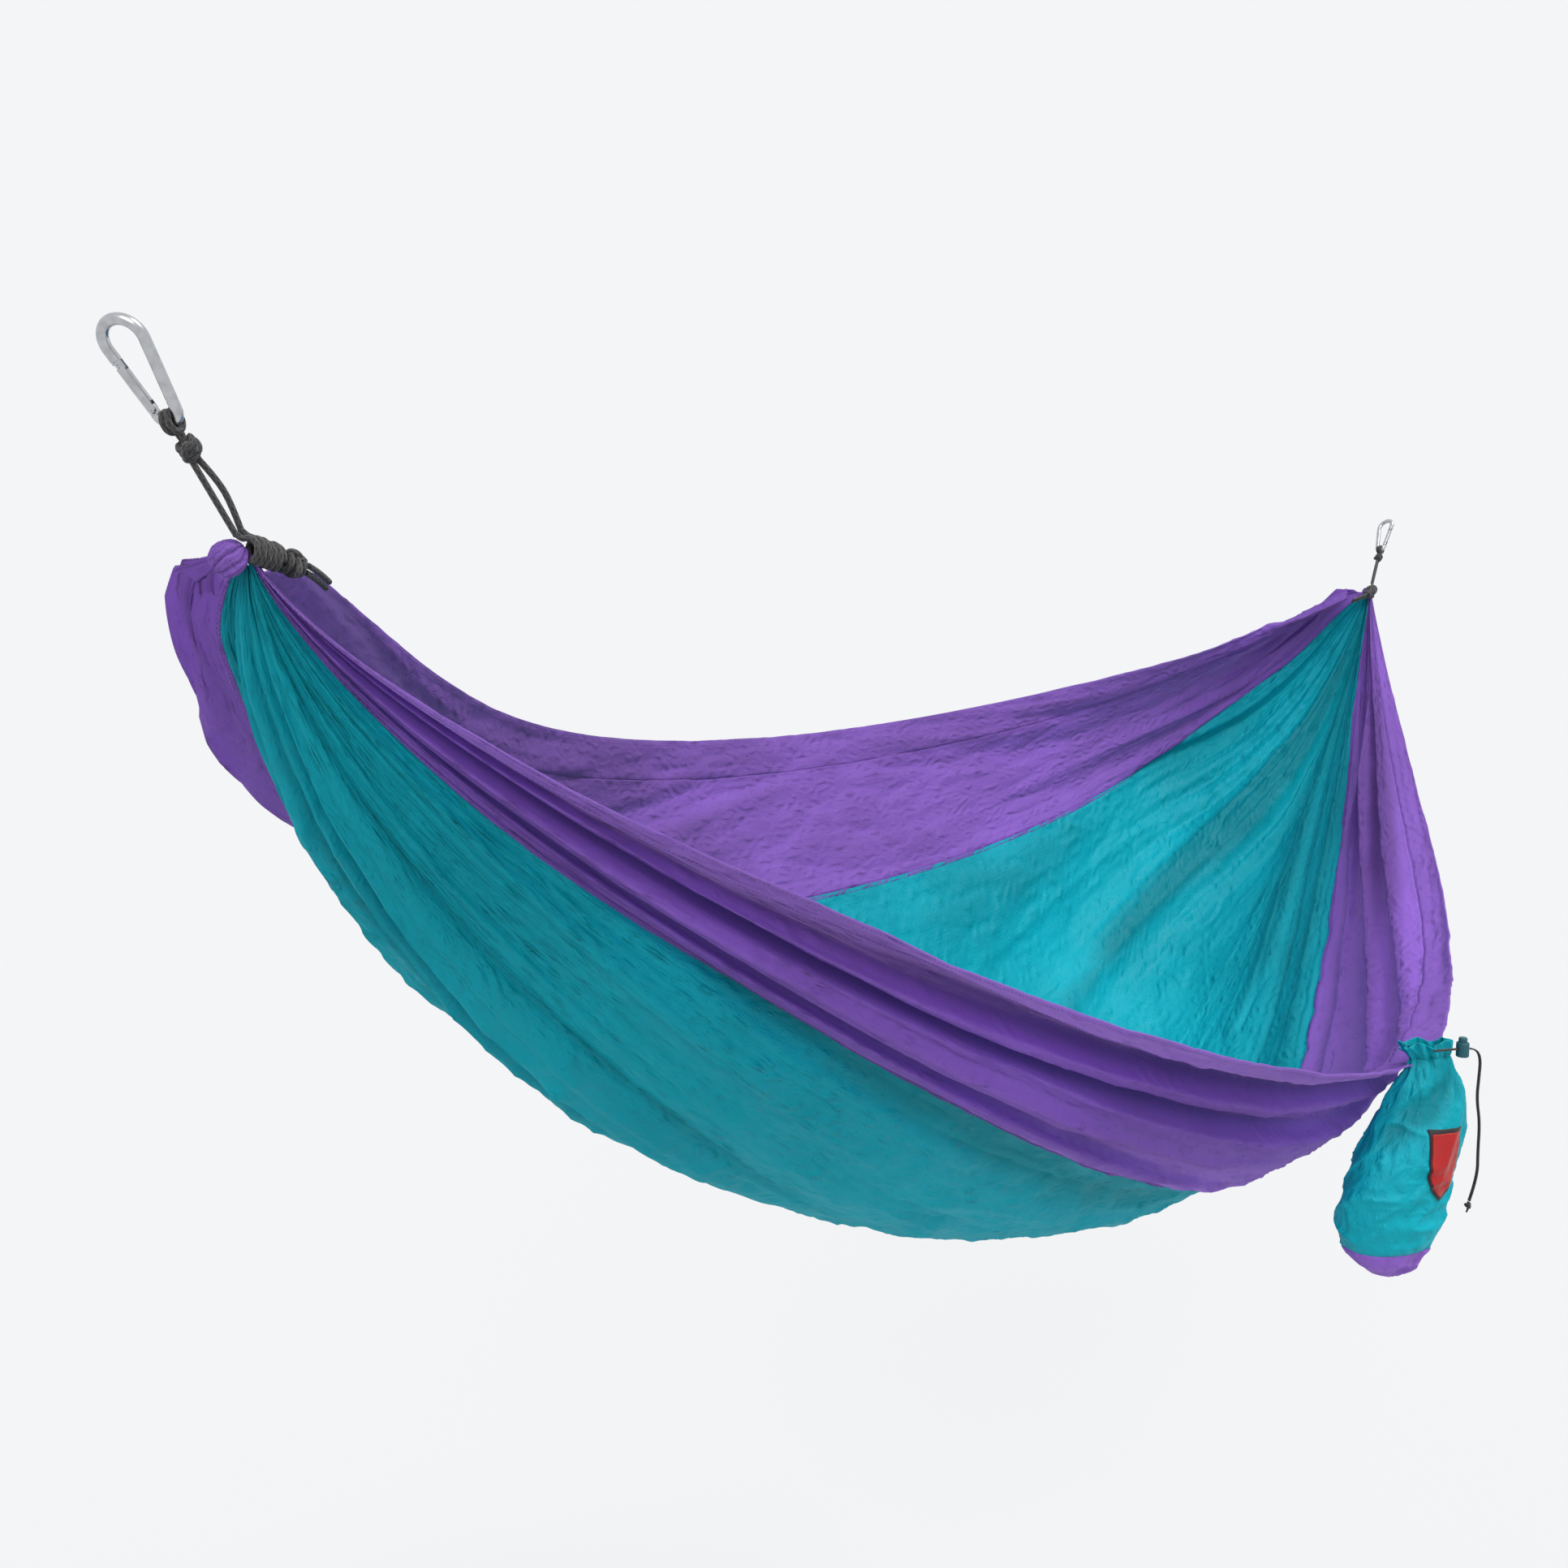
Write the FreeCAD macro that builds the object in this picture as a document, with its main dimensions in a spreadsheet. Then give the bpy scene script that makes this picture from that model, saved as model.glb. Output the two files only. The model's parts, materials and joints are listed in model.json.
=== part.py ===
import FreeCAD, Part
import math
import os

from FreeCAD import Placement, Rotation, Vector

# Camping hammock hung between two anchors. Millimetres, +Z up, origin where the near snap
# hook bears on its anchor, +X towards the far anchor. The near edge of the bed is on -Y.

SIZES = {
    "anchor_span": 2800.0,
    "hang_angle": 57.0,
    "suspension_length": 166.0,
    # reach is sideways from the ridge line, drop is below the gathers, at mid length
    "near_hem_reach": -450.0,
    "near_hem_drop": 588.0,
    "near_seam_reach": -255.0,
    "near_seam_drop": 788.0,
    "keel_reach": 60.0,
    "keel_drop": 903.0,
    "far_seam_reach": 385.0,
    "far_seam_drop": 475.0,
    "far_hem_reach": 500.0,
    "far_hem_drop": 242.0,
    "cloth_thickness": 3.0,
    "near_hem_share": 0.12,
    "far_hem_share": 0.22,
    "rope_diameter": 4.6,
    "hook_length": 80.0,
    "hook_wire": 8.0,
    "wide_bow_radius": 15.0,
    "narrow_bow_radius": 8.0,
    "hook_turn": 22.0,
    "gate_diameter": 7.6,
    "tang_thickness": 3.0,
    "rivet_diameter": 3.0,
    "latch_pin_diameter": 2.4,
    "pusher_diameter": 4.0,
    "spring_wire": 0.6,
    "wraps_radius": 10.5,
    "wraps_length": 26.0,
    "knot_radius": 11.5,
    "bunch_radius": 19.0,
    "sack_wall": 2.0,
    "sack_offset": 34.0,
    "tab_width": 18.0,
    "tab_thickness": 2.0,
    "patch_width": 48.0,
    "patch_height": 86.0,
    "patch_thickness": 1.2,
    "drawcord_diameter": 2.0,
    "drawcord_knot_radius": 5.0,
    "lock_radius": 7.5,
    "lock_height": 18.0,
    "plunger_radius": 5.0,
    "plunger_travel": 4.0,
    "running_gap": 0.05,
    "free_gap": 0.3,
}

doc = FreeCAD.newDocument("camping_hammock")
sheet = doc.addObject("Spreadsheet::Sheet", "Sizes")
for row, (alias, value) in enumerate(SIZES.items(), start=1):
    sheet.set(f"A{row}", alias)
    sheet.set(f"B{row}", str(value))
    sheet.setAlias(f"B{row}", alias)
doc.recompute()

nodes = []


def size(alias):
    return float(sheet.get(alias))


def add_shape(label, shape, placement=None):
    """A sub-part whose shape is made here from the sheet's sizes."""
    item = doc.addObject("Part::Feature", label)
    item.Label = label
    item.Shape = shape
    if placement is not None:
        item.Placement = placement
    nodes.append(item)
    return item


def add_primitive(kind, label, placement, **bound):
    """A Part primitive whose properties are bound to the sheet."""
    item = doc.addObject(kind, label)
    item.Label = label
    for name, expression in bound.items():
        item.setExpression(name, expression)
    item.Placement = placement
    nodes.append(item)
    return item


def frame_placement(origin, x_axis, z_axis):
    """Placement whose local X and Z lie along the two given directions."""
    z_unit = Vector(z_axis).normalize()
    y_unit = z_unit.cross(Vector(x_axis)).normalize()
    return Placement(origin, Rotation(y_unit.cross(z_unit), y_unit, z_unit, "ZXY"))


# ---------------------------------------------------------------- bed of three cloth panels

HANG = math.radians(size("hang_angle"))
DOWN_ROPE = Vector(math.cos(HANG), 0, -math.sin(HANG))
NEAR_GATHER = DOWN_ROPE * size("suspension_length")
FAR_X = size("anchor_span") - NEAR_GATHER.x

# Each guide line runs from gather to gather. Its powers say how full its curve is sideways
# and downwards, and its lag how much later it leaves the gather than an even spacing.
GUIDES = [
    ("near_hem", 0.95, 0.72, -0.28),
    ("near_seam", 1.03, 0.75, -0.30),
    ("keel", 0.85, 0.66, -0.15),
    ("far_seam", 0.50, 0.60, 0.33),
    ("far_hem", 1.28, 1.05, 0.22),
]
FIRST_STATION = 0.010
# the far side's corner isn't drawn up to the gather, so its end edge slants away from it
FAR_CORNER_STATION = 0.036
STATIONS = 19


def guide_point(index, along):
    name, side_power, drop_power, lag = GUIDES[index]
    swell = math.sin(math.pi * along)
    even = along - lag * math.sin(2 * math.pi * along) / (2 * math.pi)
    return Vector(
        NEAR_GATHER.x + (FAR_X - NEAR_GATHER.x) * even,
        size(f"{name}_reach") * swell**side_power,
        NEAR_GATHER.z - size(f"{name}_drop") * swell**drop_power,
    )


def bed_point(along, across):
    """Point of the bed's outer face: across is 0 at the near hem and 4 at the far hem."""
    line = [guide_point(index, along) for index in range(len(GUIDES))]
    gaps = [(b - a).Length for a, b in zip(line, line[1:])]
    slopes = [(b - a) * (1 / gap) for a, b, gap in zip(line, line[1:], gaps)]
    tangents = [Vector()]
    for left in range(len(slopes) - 1):
        total = gaps[left] + gaps[left + 1]
        blend = slopes[left] * gaps[left + 1] + slopes[left + 1] * gaps[left]
        tangents.append(blend * (1 / total))
    tangents[0] = slopes[0] * 1.5 - tangents[1] * 0.5
    tangents.append(slopes[-1] * 1.5 - tangents[-1] * 0.5)
    span = min(int(across), len(slopes) - 1)
    t = across - span
    return (
        line[span] * (2 * t**3 - 3 * t**2 + 1)
        + tangents[span] * (gaps[span] * (t**3 - 2 * t**2 + t))
        + line[span + 1] * (3 * t**2 - 2 * t**3)
        + tangents[span + 1] * (gaps[span] * (t**3 - t**2))
    )


def bed_normal(along, across):
    """Unit normal of the bed, towards its inside."""
    step = 0.002
    low, high = max(along - step, 0.004), min(along + step, 0.996)
    left, right = max(across - step, 0.0), min(across + step, 4.0)
    lengthways = bed_point(high, across) - bed_point(low, across)
    crossways = bed_point(along, right) - bed_point(along, left)
    return lengthways.cross(crossways).normalize()


def station(index, across):
    """Place along the bed, closer together towards the gathers."""
    slant = max(across - 3, 0) ** 1.5
    first = FIRST_STATION + (FAR_CORNER_STATION - FIRST_STATION) * slant
    even = index / (STATIONS - 1)
    eased = even - 0.8 * math.sin(2 * math.pi * even) / (2 * math.pi)
    return first + (1 - 2 * first) * eased


def cloth_strip(start, end, steps, thickness):
    """Closed solid of one panel, between two places across the bed."""
    across = [start + (end - start) * k / steps for k in range(steps + 1)]
    outer, inner = [], []
    for index in range(STATIONS):
        places = [(station(index, v), v) for v in across]
        outer.append([bed_point(u, v) for u, v in places])
        inner.append([bed_point(u, v) + bed_normal(u, v) * thickness for u, v in places])
    faces = []
    surfaces = []
    for grid in (outer, inner):
        surface = Part.BSplineSurface()
        surface.interpolate(grid)
        surfaces.append(surface)
        faces.append(surface.toShape())
    low, high = surfaces
    u0, u1, v0, v1 = low.bounds()
    a0, a1, b0, b1 = high.bounds()
    for edge, twin in (
        (low.uIso(u0), high.uIso(a0)),
        (low.uIso(u1), high.uIso(a1)),
        (low.vIso(v0), high.vIso(b0)),
        (low.vIso(v1), high.vIso(b1)),
    ):
        faces.append(Part.makeRuledSurface(edge.toShape(), twin.toShape()))
    shell = Part.Shell(faces)
    shell.sewShape()
    solid = Part.Solid(shell)
    if solid.Volume < 0:
        solid.reverse()
    return solid


def make_bed():
    cloth = size("cloth_thickness")
    near_edge = size("near_hem_share")
    far_edge = 4 - size("far_hem_share")
    add_shape("near_hem", cloth_strip(0, near_edge, 2, cloth))
    add_shape("near_side_panel", cloth_strip(near_edge, 1, 5, cloth))
    add_shape("center_panel", cloth_strip(1, 3, 12, cloth))
    add_shape("far_side_panel", cloth_strip(3, far_edge, 5, cloth))
    add_shape("far_hem", cloth_strip(far_edge, 4, 2, cloth))


# ---------------------------------------------------------------- cords

def rounded_path(points, label):
    """Wire of straight runs joined by tangent arcs, as large as the runs allow."""
    edges = []
    used = []
    last = points[0]
    for place in range(1, len(points) - 1):
        before = points[place - 1] - points[place]
        after = points[place + 1] - points[place]
        run = min(before.Length, after.Length)
        before.normalize()
        after.normalize()
        turn = math.pi - before.getAngle(after)
        setback = 0.45 * run
        radius = setback / math.tan(turn / 2)
        used.append(round(radius, 1))
        start = points[place] + before * setback
        end = points[place] + after * setback
        bisector = (before + after).normalize()
        reach = radius / math.cos(turn / 2) - radius
        middle = points[place] + bisector * reach
        edges.append(Part.LineSegment(last, start).toShape())
        edges.append(Part.Arc(start, middle, end).toShape())
        last = end
    edges.append(Part.LineSegment(last, points[-1]).toShape())
    print(f"{label}: radii {used} mm")
    return Part.Wire(edges)


def cord_tube(label, points, diameter):
    """Tube along a route; its volume is compared with its section times its length."""
    path = rounded_path(points, label) if len(points) > 2 else Part.makePolygon(points)
    heading = points[1] - points[0]
    circle = Part.Circle(points[0], heading, diameter / 2).toShape()
    tube = path.makePipeShell([Part.Wire(circle)], True, False, 2)
    expected = math.pi * diameter**2 / 4 * path.Length
    print(f"{label}: length {path.Length:.1f} mm, volume ratio {tube.Volume / expected:.4f}")
    if abs(tube.Volume / expected - 1) > 0.01:
        raise ValueError(f"{label} has the wrong volume")
    return add_shape(label, tube)


# ---------------------------------------------------------------- snap hooks and ropes

class End:
    """One end of the hammock: which way it faces and how its points are mirrored."""

    def __init__(self, name):
        self.name = name
        self.far = name == "far"

    def point(self, x, y, z):
        return Vector(size("anchor_span") - x if self.far else x, y, z)

    def along_rope(self, distance, side=0.0, rise=0.0):
        p = DOWN_ROPE * distance + Vector(math.sin(HANG), 0, math.cos(HANG)) * rise
        return self.point(p.x, p.y + side, p.z)

    def direction(self, x, y, z):
        return Vector(-x if self.far else x, y, z)

    def hook_frame(self):
        """Local frame of the snap hook: Z up the rope, X from gate to spine."""
        turn = math.radians(size("hook_turn"))
        across = self.direction(
            math.sin(turn) * math.sin(HANG), -math.cos(turn), math.sin(turn) * math.cos(HANG)
        )
        if self.far:
            across = across * -1
        upward = self.direction(-DOWN_ROPE.x, 0, -DOWN_ROPE.z)
        return frame_placement(self.along_rope(narrow_centre_distance()), across, upward)


def narrow_centre_distance():
    """From the bearing point down to the centre of the narrow bow."""
    return size("hook_length") - 1.5 * size("hook_wire") - size("narrow_bow_radius")


def bow_spacing():
    bows = size("wide_bow_radius") + size("narrow_bow_radius")
    return size("hook_length") - size("hook_wire") - bows


# Local hook frame: origin at the narrow bow's centre, gate on the -X side.
# Places along that side are measured from where the narrow bow ends.
PIVOT_AT = 5.1
PIVOT_ROUND = 3.4
LATCH_PIN_AT = 37.5
NOSE_AT = 41.0
GATE_TOP_AT = 40.6
END_GAP = 0.3


def gate_side():
    """Start point and direction of the straight gate side, and its outward normal."""
    lean = (size("wide_bow_radius") - size("narrow_bow_radius")) / bow_spacing()
    outward = Vector(-math.sqrt(1 - lean**2), 0, -lean)
    start = outward * size("narrow_bow_radius")
    upward = Vector(outward.z, 0, -outward.x)
    return start, upward, outward


def side_point(distance):
    start, upward, _ = gate_side()
    return start + upward * distance


def side_cylinder(radius, bottom, top):
    _, upward, _ = gate_side()
    return Part.makeCylinder(radius, top - bottom, side_point(bottom), upward)


def side_slab(width, thickness, bottom, top, shift=0.0):
    """Box centred on the gate side: width outwards, thickness along Y."""
    _, upward, outward = gate_side()
    slab = Part.makeBox(width, thickness, top - bottom, Vector(-width / 2, -thickness / 2, 0))
    slab.Placement = frame_placement(side_point(bottom) + outward * shift, outward * -1, upward)
    return slab


def cross_pin(radius, length, distance):
    centre = side_point(distance)
    return Part.makeCylinder(radius, length, centre - Vector(0, length / 2, 0), Vector(0, 1, 0))


def hook_body_shape():
    wire = size("hook_wire") / 2
    narrow, wide = size("narrow_bow_radius"), size("wide_bow_radius")
    spacing = bow_spacing()
    lean = (wide - narrow) / spacing
    right = Vector(math.sqrt(1 - lean**2), 0, -lean)
    left = Vector(-right.x, 0, right.z)
    top = Vector(0, 0, spacing)
    hinge_end = side_point(PIVOT_AT - size("gate_diameter") / 2 - END_GAP)
    edges = [
        Part.LineSegment(hinge_end, left * narrow).toShape(),
        Part.Arc(left * narrow, Vector(0, 0, -narrow), right * narrow).toShape(),
        Part.LineSegment(right * narrow, top + right * wide).toShape(),
        Part.Arc(top + right * wide, top + Vector(0, 0, wide), top + left * wide).toShape(),
        Part.LineSegment(top + left * wide, side_point(NOSE_AT)).toShape(),
    ]
    path = Part.Wire(edges)
    heading = edges[0].tangentAt(edges[0].FirstParameter)
    circle = Part.Circle(hinge_end, heading, wire).toShape()
    rod = path.makePipeShell([Part.Wire(circle)], True, False)
    tang = size("tang_thickness")
    hinge_tang = side_slab(2 * PIVOT_ROUND, tang, PIVOT_AT - 6.0, PIVOT_AT)
    hinge_tang = hinge_tang.fuse(cross_pin(PIVOT_ROUND, tang, PIVOT_AT))
    nose_tang = side_slab(5.0, tang, LATCH_PIN_AT - 2.4, NOSE_AT + 2.0)
    body = rod.fuse([hinge_tang, nose_tang])
    body = body.cut(cross_pin(size("rivet_diameter") / 2 + size("running_gap"), 12, PIVOT_AT))
    return body.cut(cross_pin(size("latch_pin_diameter") / 2, 12, LATCH_PIN_AT)).removeSplitter()


GATE_BORE_FROM = PIVOT_AT + 1.0
GATE_BORE_TO = 31.0
GATE_SPRING_TURNS = 8
FORK_TO = PIVOT_AT + 5.0
NOSE_SLOT_FROM = 33.6
PUSHER_FROM = PIVOT_AT + PIVOT_ROUND + END_GAP
PUSHER_TO = 15.0


def gate_shape():
    radius = size("gate_diameter") / 2
    slot = size("tang_thickness") + 0.4
    rod = side_cylinder(radius, PIVOT_AT, GATE_TOP_AT)
    rod = rod.fuse(Part.makeSphere(radius, side_point(PIVOT_AT)))
    fork = side_slab(12, slot, PIVOT_AT - 8, FORK_TO)
    nose_slot = side_slab(12, slot, NOSE_SLOT_FROM, NOSE_AT)
    pin_room = size("latch_pin_diameter") / 2 + 0.3
    notch = side_slab(12, 12, LATCH_PIN_AT - pin_room, LATCH_PIN_AT + pin_room, 6 - pin_room)
    bore = side_cylinder(size("pusher_diameter") / 2 + 0.15, GATE_BORE_FROM, GATE_BORE_TO)
    rivet_hole = cross_pin(size("rivet_diameter") / 2, 12, PIVOT_AT)
    return rod.cut([fork, nose_slot, notch, bore, rivet_hole]).removeSplitter()


def pusher_shape():
    _, upward, _ = gate_side()
    pin = side_cylinder(size("pusher_diameter") / 2, PUSHER_FROM, PUSHER_TO)
    edge = max(pin.Edges, key=lambda e: e.CenterOfMass.dot(upward) * -1)
    return pin.makeFillet(0.6, [edge])


def spring_shape():
    """Open coil that pushes between the pusher and the bottom of the gate's bore."""
    _, upward, outward = gate_side()
    wire = size("spring_wire")
    coil_radius = size("pusher_diameter") / 2 - wire / 2 - 0.1
    bottom, top = PUSHER_TO + wire, GATE_BORE_TO - wire
    helix = Part.makeHelix((top - bottom) / GATE_SPRING_TURNS, top - bottom, coil_radius)
    heading = helix.Edges[0].tangentAt(helix.Edges[0].FirstParameter)
    circle = Part.Circle(Vector(coil_radius, 0, 0), heading, wire / 2).toShape()
    coil = helix.makePipeShell([Part.Wire(circle)], True, True)
    coil.Placement = frame_placement(side_point(bottom), outward * -1, upward)
    return coil


def pin_placement(end, distance, length):
    """Placement of a pin along the hook's local Y, centred on the gate side."""
    local = frame_placement(
        side_point(distance) - Vector(0, length / 2, 0), Vector(1, 0, 0), Vector(0, 1, 0)
    )
    return end.hook_frame().multiply(local)


RIVET_LENGTH = 8.0
LATCH_PIN_LENGTH = 6.4


def make_hook(end):
    frame = end.hook_frame()
    add_shape(f"{end.name}_hook_body", hook_body_shape(), frame)
    add_shape(f"{end.name}_gate", gate_shape(), frame)
    add_shape(f"{end.name}_gate_pusher", pusher_shape(), frame)
    spring = spring_shape()
    spring.Placement = frame.multiply(spring.Placement)
    add_shape(f"{end.name}_gate_spring", spring)
    rivet = add_primitive(
        "Part::Cylinder",
        f"{end.name}_gate_rivet",
        pin_placement(end, PIVOT_AT, RIVET_LENGTH),
        Radius="Sizes.rivet_diameter / 2",
    )
    rivet.Height = RIVET_LENGTH
    pin = add_primitive(
        "Part::Cylinder",
        f"{end.name}_latch_pin",
        pin_placement(end, LATCH_PIN_AT, LATCH_PIN_LENGTH),
        Radius="Sizes.latch_pin_diameter / 2",
    )
    pin.Height = LATCH_PIN_LENGTH


KNOT_DISTANCE = 88.0
EYE_KNOT_RADII = (8.5, 9.5, 9.5)
TAUT_FROM = KNOT_DISTANCE + 10.0
TAUT_SHORT = 12.0
STRAND_HALF_GAP = 0.25
WRAP_AXIS = Vector(0.96, 0, -0.28)
WRAP_START = NEAR_GATHER + Vector(-2.0, -4.0, 0.5)


def make_ropes(end):
    rope = size("rope_diameter")
    frame = end.hook_frame()
    bow_low = size("narrow_bow_radius")
    ring_radius = size("hook_wire") / 2 + rope / 2 + 1.2
    ring_place = frame.multiply(
        frame_placement(Vector(0, 0, -bow_low), Vector(0, 1, 0), Vector(1, 0, 0))
    )
    ring = add_primitive(
        "Part::Torus", f"{end.name}_rope_eye", ring_place, Radius2="Sizes.rope_diameter / 2"
    )
    ring.Radius1 = ring_radius
    knot = Part.makeSphere(1.0)
    stretch = FreeCAD.Matrix()
    stretch.scale(*EYE_KNOT_RADII)
    knot = knot.transformGeometry(stretch)
    centre = end.along_rope(KNOT_DISTANCE)
    add_shape(
        f"{end.name}_eye_knot",
        knot,
        frame_placement(centre, Vector(0, 1, 0), end.direction(-DOWN_ROPE.x, 0, -DOWN_ROPE.z)),
    )
    # two taut strands: one straight, one that bows a little away from it
    start, finish = TAUT_FROM, size("suspension_length") - TAUT_SHORT
    half = rope / 2 + STRAND_HALF_GAP
    cord_tube(
        f"{end.name}_rope_straight",
        [end.along_rope(start, 0.0, -half), end.along_rope(finish, 0.0, -half)],
        rope,
    )
    cord_tube(
        f"{end.name}_rope_bowed",
        [
            end.along_rope(start, 0.0, half),
            end.along_rope(start + 18, -1.0, half + 4.0),
            end.along_rope(start + 37, -1.0, half + 3.4),
            end.along_rope(finish, 0.0, half),
        ],
        rope,
    )
    place = frame_placement(
        end.point(*WRAP_START), Vector(0, 1, 0), end.direction(*WRAP_AXIS)
    )
    add_primitive(
        "Part::Cylinder",
        f"{end.name}_rope_wraps",
        place,
        Radius="Sizes.wraps_radius",
        Height="Sizes.wraps_length",
    )
    past = WRAP_START + WRAP_AXIS * (size("wraps_length") + size("knot_radius") - 1.0)
    ball = Part.makeSphere(size("knot_radius"), end.point(*past))
    wraps = Part.makeCylinder(size("wraps_radius"), size("wraps_length"))
    wraps.Placement = place
    add_shape(f"{end.name}_cinch_knot", ball.cut(wraps))
    # the rope's last stretch, from the knot into the corner of the far side's end channel
    first = past + WRAP_AXIS * (size("knot_radius") + 0.9)
    bend = first + Vector(15.0, 7.0, -4.5)
    corner = first + Vector(30.0, 17.0, -11.0)
    for name, shift in (("upper", 1.0), ("lower", -1.0)):
        step = Vector(0.2, -0.45, 0.87) * (shift * (rope / 2 + 0.35))
        route = [point + step for point in (first, bend, corner)]
        cord_tube(f"{end.name}_channel_cord_{name}", [end.point(*p) for p in route], rope)


def make_bunch(end):
    """The end channel, bunched on its rope: a short rounded barrel beside the gather."""
    radius = size("bunch_radius")
    centre = end.point(NEAR_GATHER.x - radius - 3.5, 6.0, NEAR_GATHER.z - 12.0)
    profile = Part.makeSphere(radius, centre)
    tunnel = Part.makeCylinder(
        size("rope_diameter") / 2 + 0.4,
        4 * radius,
        centre - Vector(0, 2 * radius, 0),
        Vector(0, 1, 0),
    )
    body = profile.cut(tunnel)
    strands = []
    for shift in (-1, 1):
        half = shift * (size("rope_diameter") / 2 + STRAND_HALF_GAP)
        a = end.along_rope(KNOT_DISTANCE, 0, half)
        b = end.along_rope(size("suspension_length"), 0, half)
        strands.append(Part.makeCylinder(size("rope_diameter") / 2 + 0.6, (b - a).Length, a, b - a))
    add_shape(f"{end.name}_end_channel", body.cut(strands))


# ---------------------------------------------------------------- stuff sack on the near hem

SACK_ACROSS = Vector(0.8, -0.6, 0)
SACK_FRONT = Vector(-0.6, -0.8, 0)
HEM_MIDDLE = guide_point(0, 0.5)

# height from the hem, half width, half thickness and sideways shift of the sack's sections
SACK_SECTIONS = [
    (20.0, 34.0, 13.0, 0.0),
    (0.0, 30.0, 13.0, 8.0),
    (-33.0, 42.0, 24.0, 8.0),
    (-60.0, 50.0, 32.0, 2.0),
    (-102.0, 64.0, 40.0, -15.0),
    (-145.0, 69.0, 43.0, -30.0),
    (-190.0, 69.0, 42.0, -38.0),
    (-232.0, 58.0, 36.0, -40.0),
    (-262.0, 32.0, 20.0, -34.0),
]
BASE_SEAM = -222.0
CHANNEL_SEAM = 2.0

PATCH_LEAN = 0.14
PATCH_ACROSS = 13.0
PATCH_HEIGHT = -120.0
LOCK_ACROSS = 33.0
LOCK_FRONT = 26.0
LOCK_HEIGHT = 17.0
TAB_RISE = 2.0


def sack_point(across, front, height):
    base = HEM_MIDDLE + SACK_FRONT * size("sack_offset")
    return base + SACK_ACROSS * across + SACK_FRONT * front + Vector(0, 0, height)


def sack_loft(grow, top_extra=0.0, bottom_cut=0.0):
    wires = []
    for place, (height, half_width, half_depth, shift) in enumerate(SACK_SECTIONS):
        if place == 0:
            height += top_extra
        if place == len(SACK_SECTIONS) - 1:
            height += bottom_cut
        ellipse = Part.Ellipse(
            sack_point(shift + half_width + grow, 0, height),
            sack_point(shift, half_depth + grow, height),
            sack_point(shift, 0, height),
        )
        wires.append(Part.Wire(ellipse.toShape()))
    return Part.makeLoft(wires, True, False)


def slab_between(low, high):
    reach = 400.0
    corner = HEM_MIDDLE + Vector(-reach / 2, -reach / 2, low)
    return Part.makeBox(reach, reach, high - low, corner)


def shield_outline(width, height, centre_across, centre_height):
    """Closed shield outline, flat top with a point below, in the sack's front plane."""
    front = 80.0
    half = width / 2
    top = centre_height + height / 2
    shoulder = centre_height - height * 0.1

    def at(across, level):
        tilt = PATCH_LEAN * (level - centre_height)
        return sack_point(centre_across + across + tilt, front, level)

    left_curve = Part.Arc(
        at(-half, shoulder), at(-half * 0.72, shoulder - height * 0.24), at(0, top - height)
    )
    right_curve = Part.Arc(
        at(0, top - height), at(half * 0.72, shoulder - height * 0.24), at(half, shoulder)
    )
    edges = [
        Part.LineSegment(at(half, top), at(-half, top)).toShape(),
        Part.LineSegment(at(-half, top), at(-half, shoulder)).toShape(),
        left_curve.toShape(),
        right_curve.toShape(),
        Part.LineSegment(at(half, shoulder), at(half, top)).toShape(),
    ]
    return Part.Wire(edges)


def make_sack():
    wall = size("sack_wall")
    outside = sack_loft(0.0)
    inside = sack_loft(-wall, top_extra=1.0, bottom_cut=3.0)
    shell = outside.cut(inside)
    add_shape("sack_mouth_channel", shell.common(slab_between(CHANNEL_SEAM, 60.0)))
    add_shape("sack_body", shell.common(slab_between(BASE_SEAM, CHANNEL_SEAM)))
    add_shape("sack_base", shell.common(slab_between(-300.0, BASE_SEAM)))
    outline = shield_outline(size("patch_width"), size("patch_height"), PATCH_ACROSS, PATCH_HEIGHT)
    prism = Part.Face(outline).extrude(SACK_FRONT * -80.0)
    skin = sack_loft(0.1 + size("patch_thickness")).cut(sack_loft(0.1))
    add_shape("sack_patch", skin.common(prism))
    make_tab()
    make_drawcord()
    make_cord_lock()


def make_tab():
    width = size("tab_width")
    length = size("sack_offset") - 13.0 - 1.0
    tab = add_primitive(
        "Part::Box",
        "sack_tab",
        frame_placement(
            HEM_MIDDLE + SACK_ACROSS * (width / 2) + Vector(0, 0, TAB_RISE),
            SACK_ACROSS * -1,
            Vector(0, 0, 1),
        ),
        Length="Sizes.tab_width",
        Height="Sizes.tab_thickness",
    )
    tab.Width = length


STRAND_GAP = 0.2


def make_drawcord():
    """Two strands from the mouth channel through the cord lock, down the sack to a knot."""
    cord = size("drawcord_diameter")
    route = [
        (-1.0, 16.0, LOCK_HEIGHT - 3.0),
        (16.0, 26.0, LOCK_HEIGHT),
        (50.0, 26.0, LOCK_HEIGHT),
        (61.0, 25.0, LOCK_HEIGHT - 13.0),
        (58.0, 27.0, -22.0),
        (53.0, 31.0, -46.0),
        (54.0, 37.0, -74.0),
        (50.0, 41.0, -108.0),
        (54.0, 38.0, -142.0),
        (46.0, 35.0, -173.0),
    ]
    for name, shift in (("front", 1.0), ("back", -1.0)):
        gap = shift * (cord / 2 + STRAND_GAP)
        cord_tube(
            f"drawcord_{name}",
            [sack_point(a, f + gap, h) for a, f, h in route],
            cord,
        )
    last = route[-1]
    radius = size("drawcord_knot_radius")
    place = sack_point(last[0] - 1.2, last[1], last[2] - radius - 0.3)
    add_primitive(
        "Part::Sphere",
        "drawcord_knot",
        Placement(place, Rotation()),
        Radius="Sizes.drawcord_knot_radius",
    )


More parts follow.
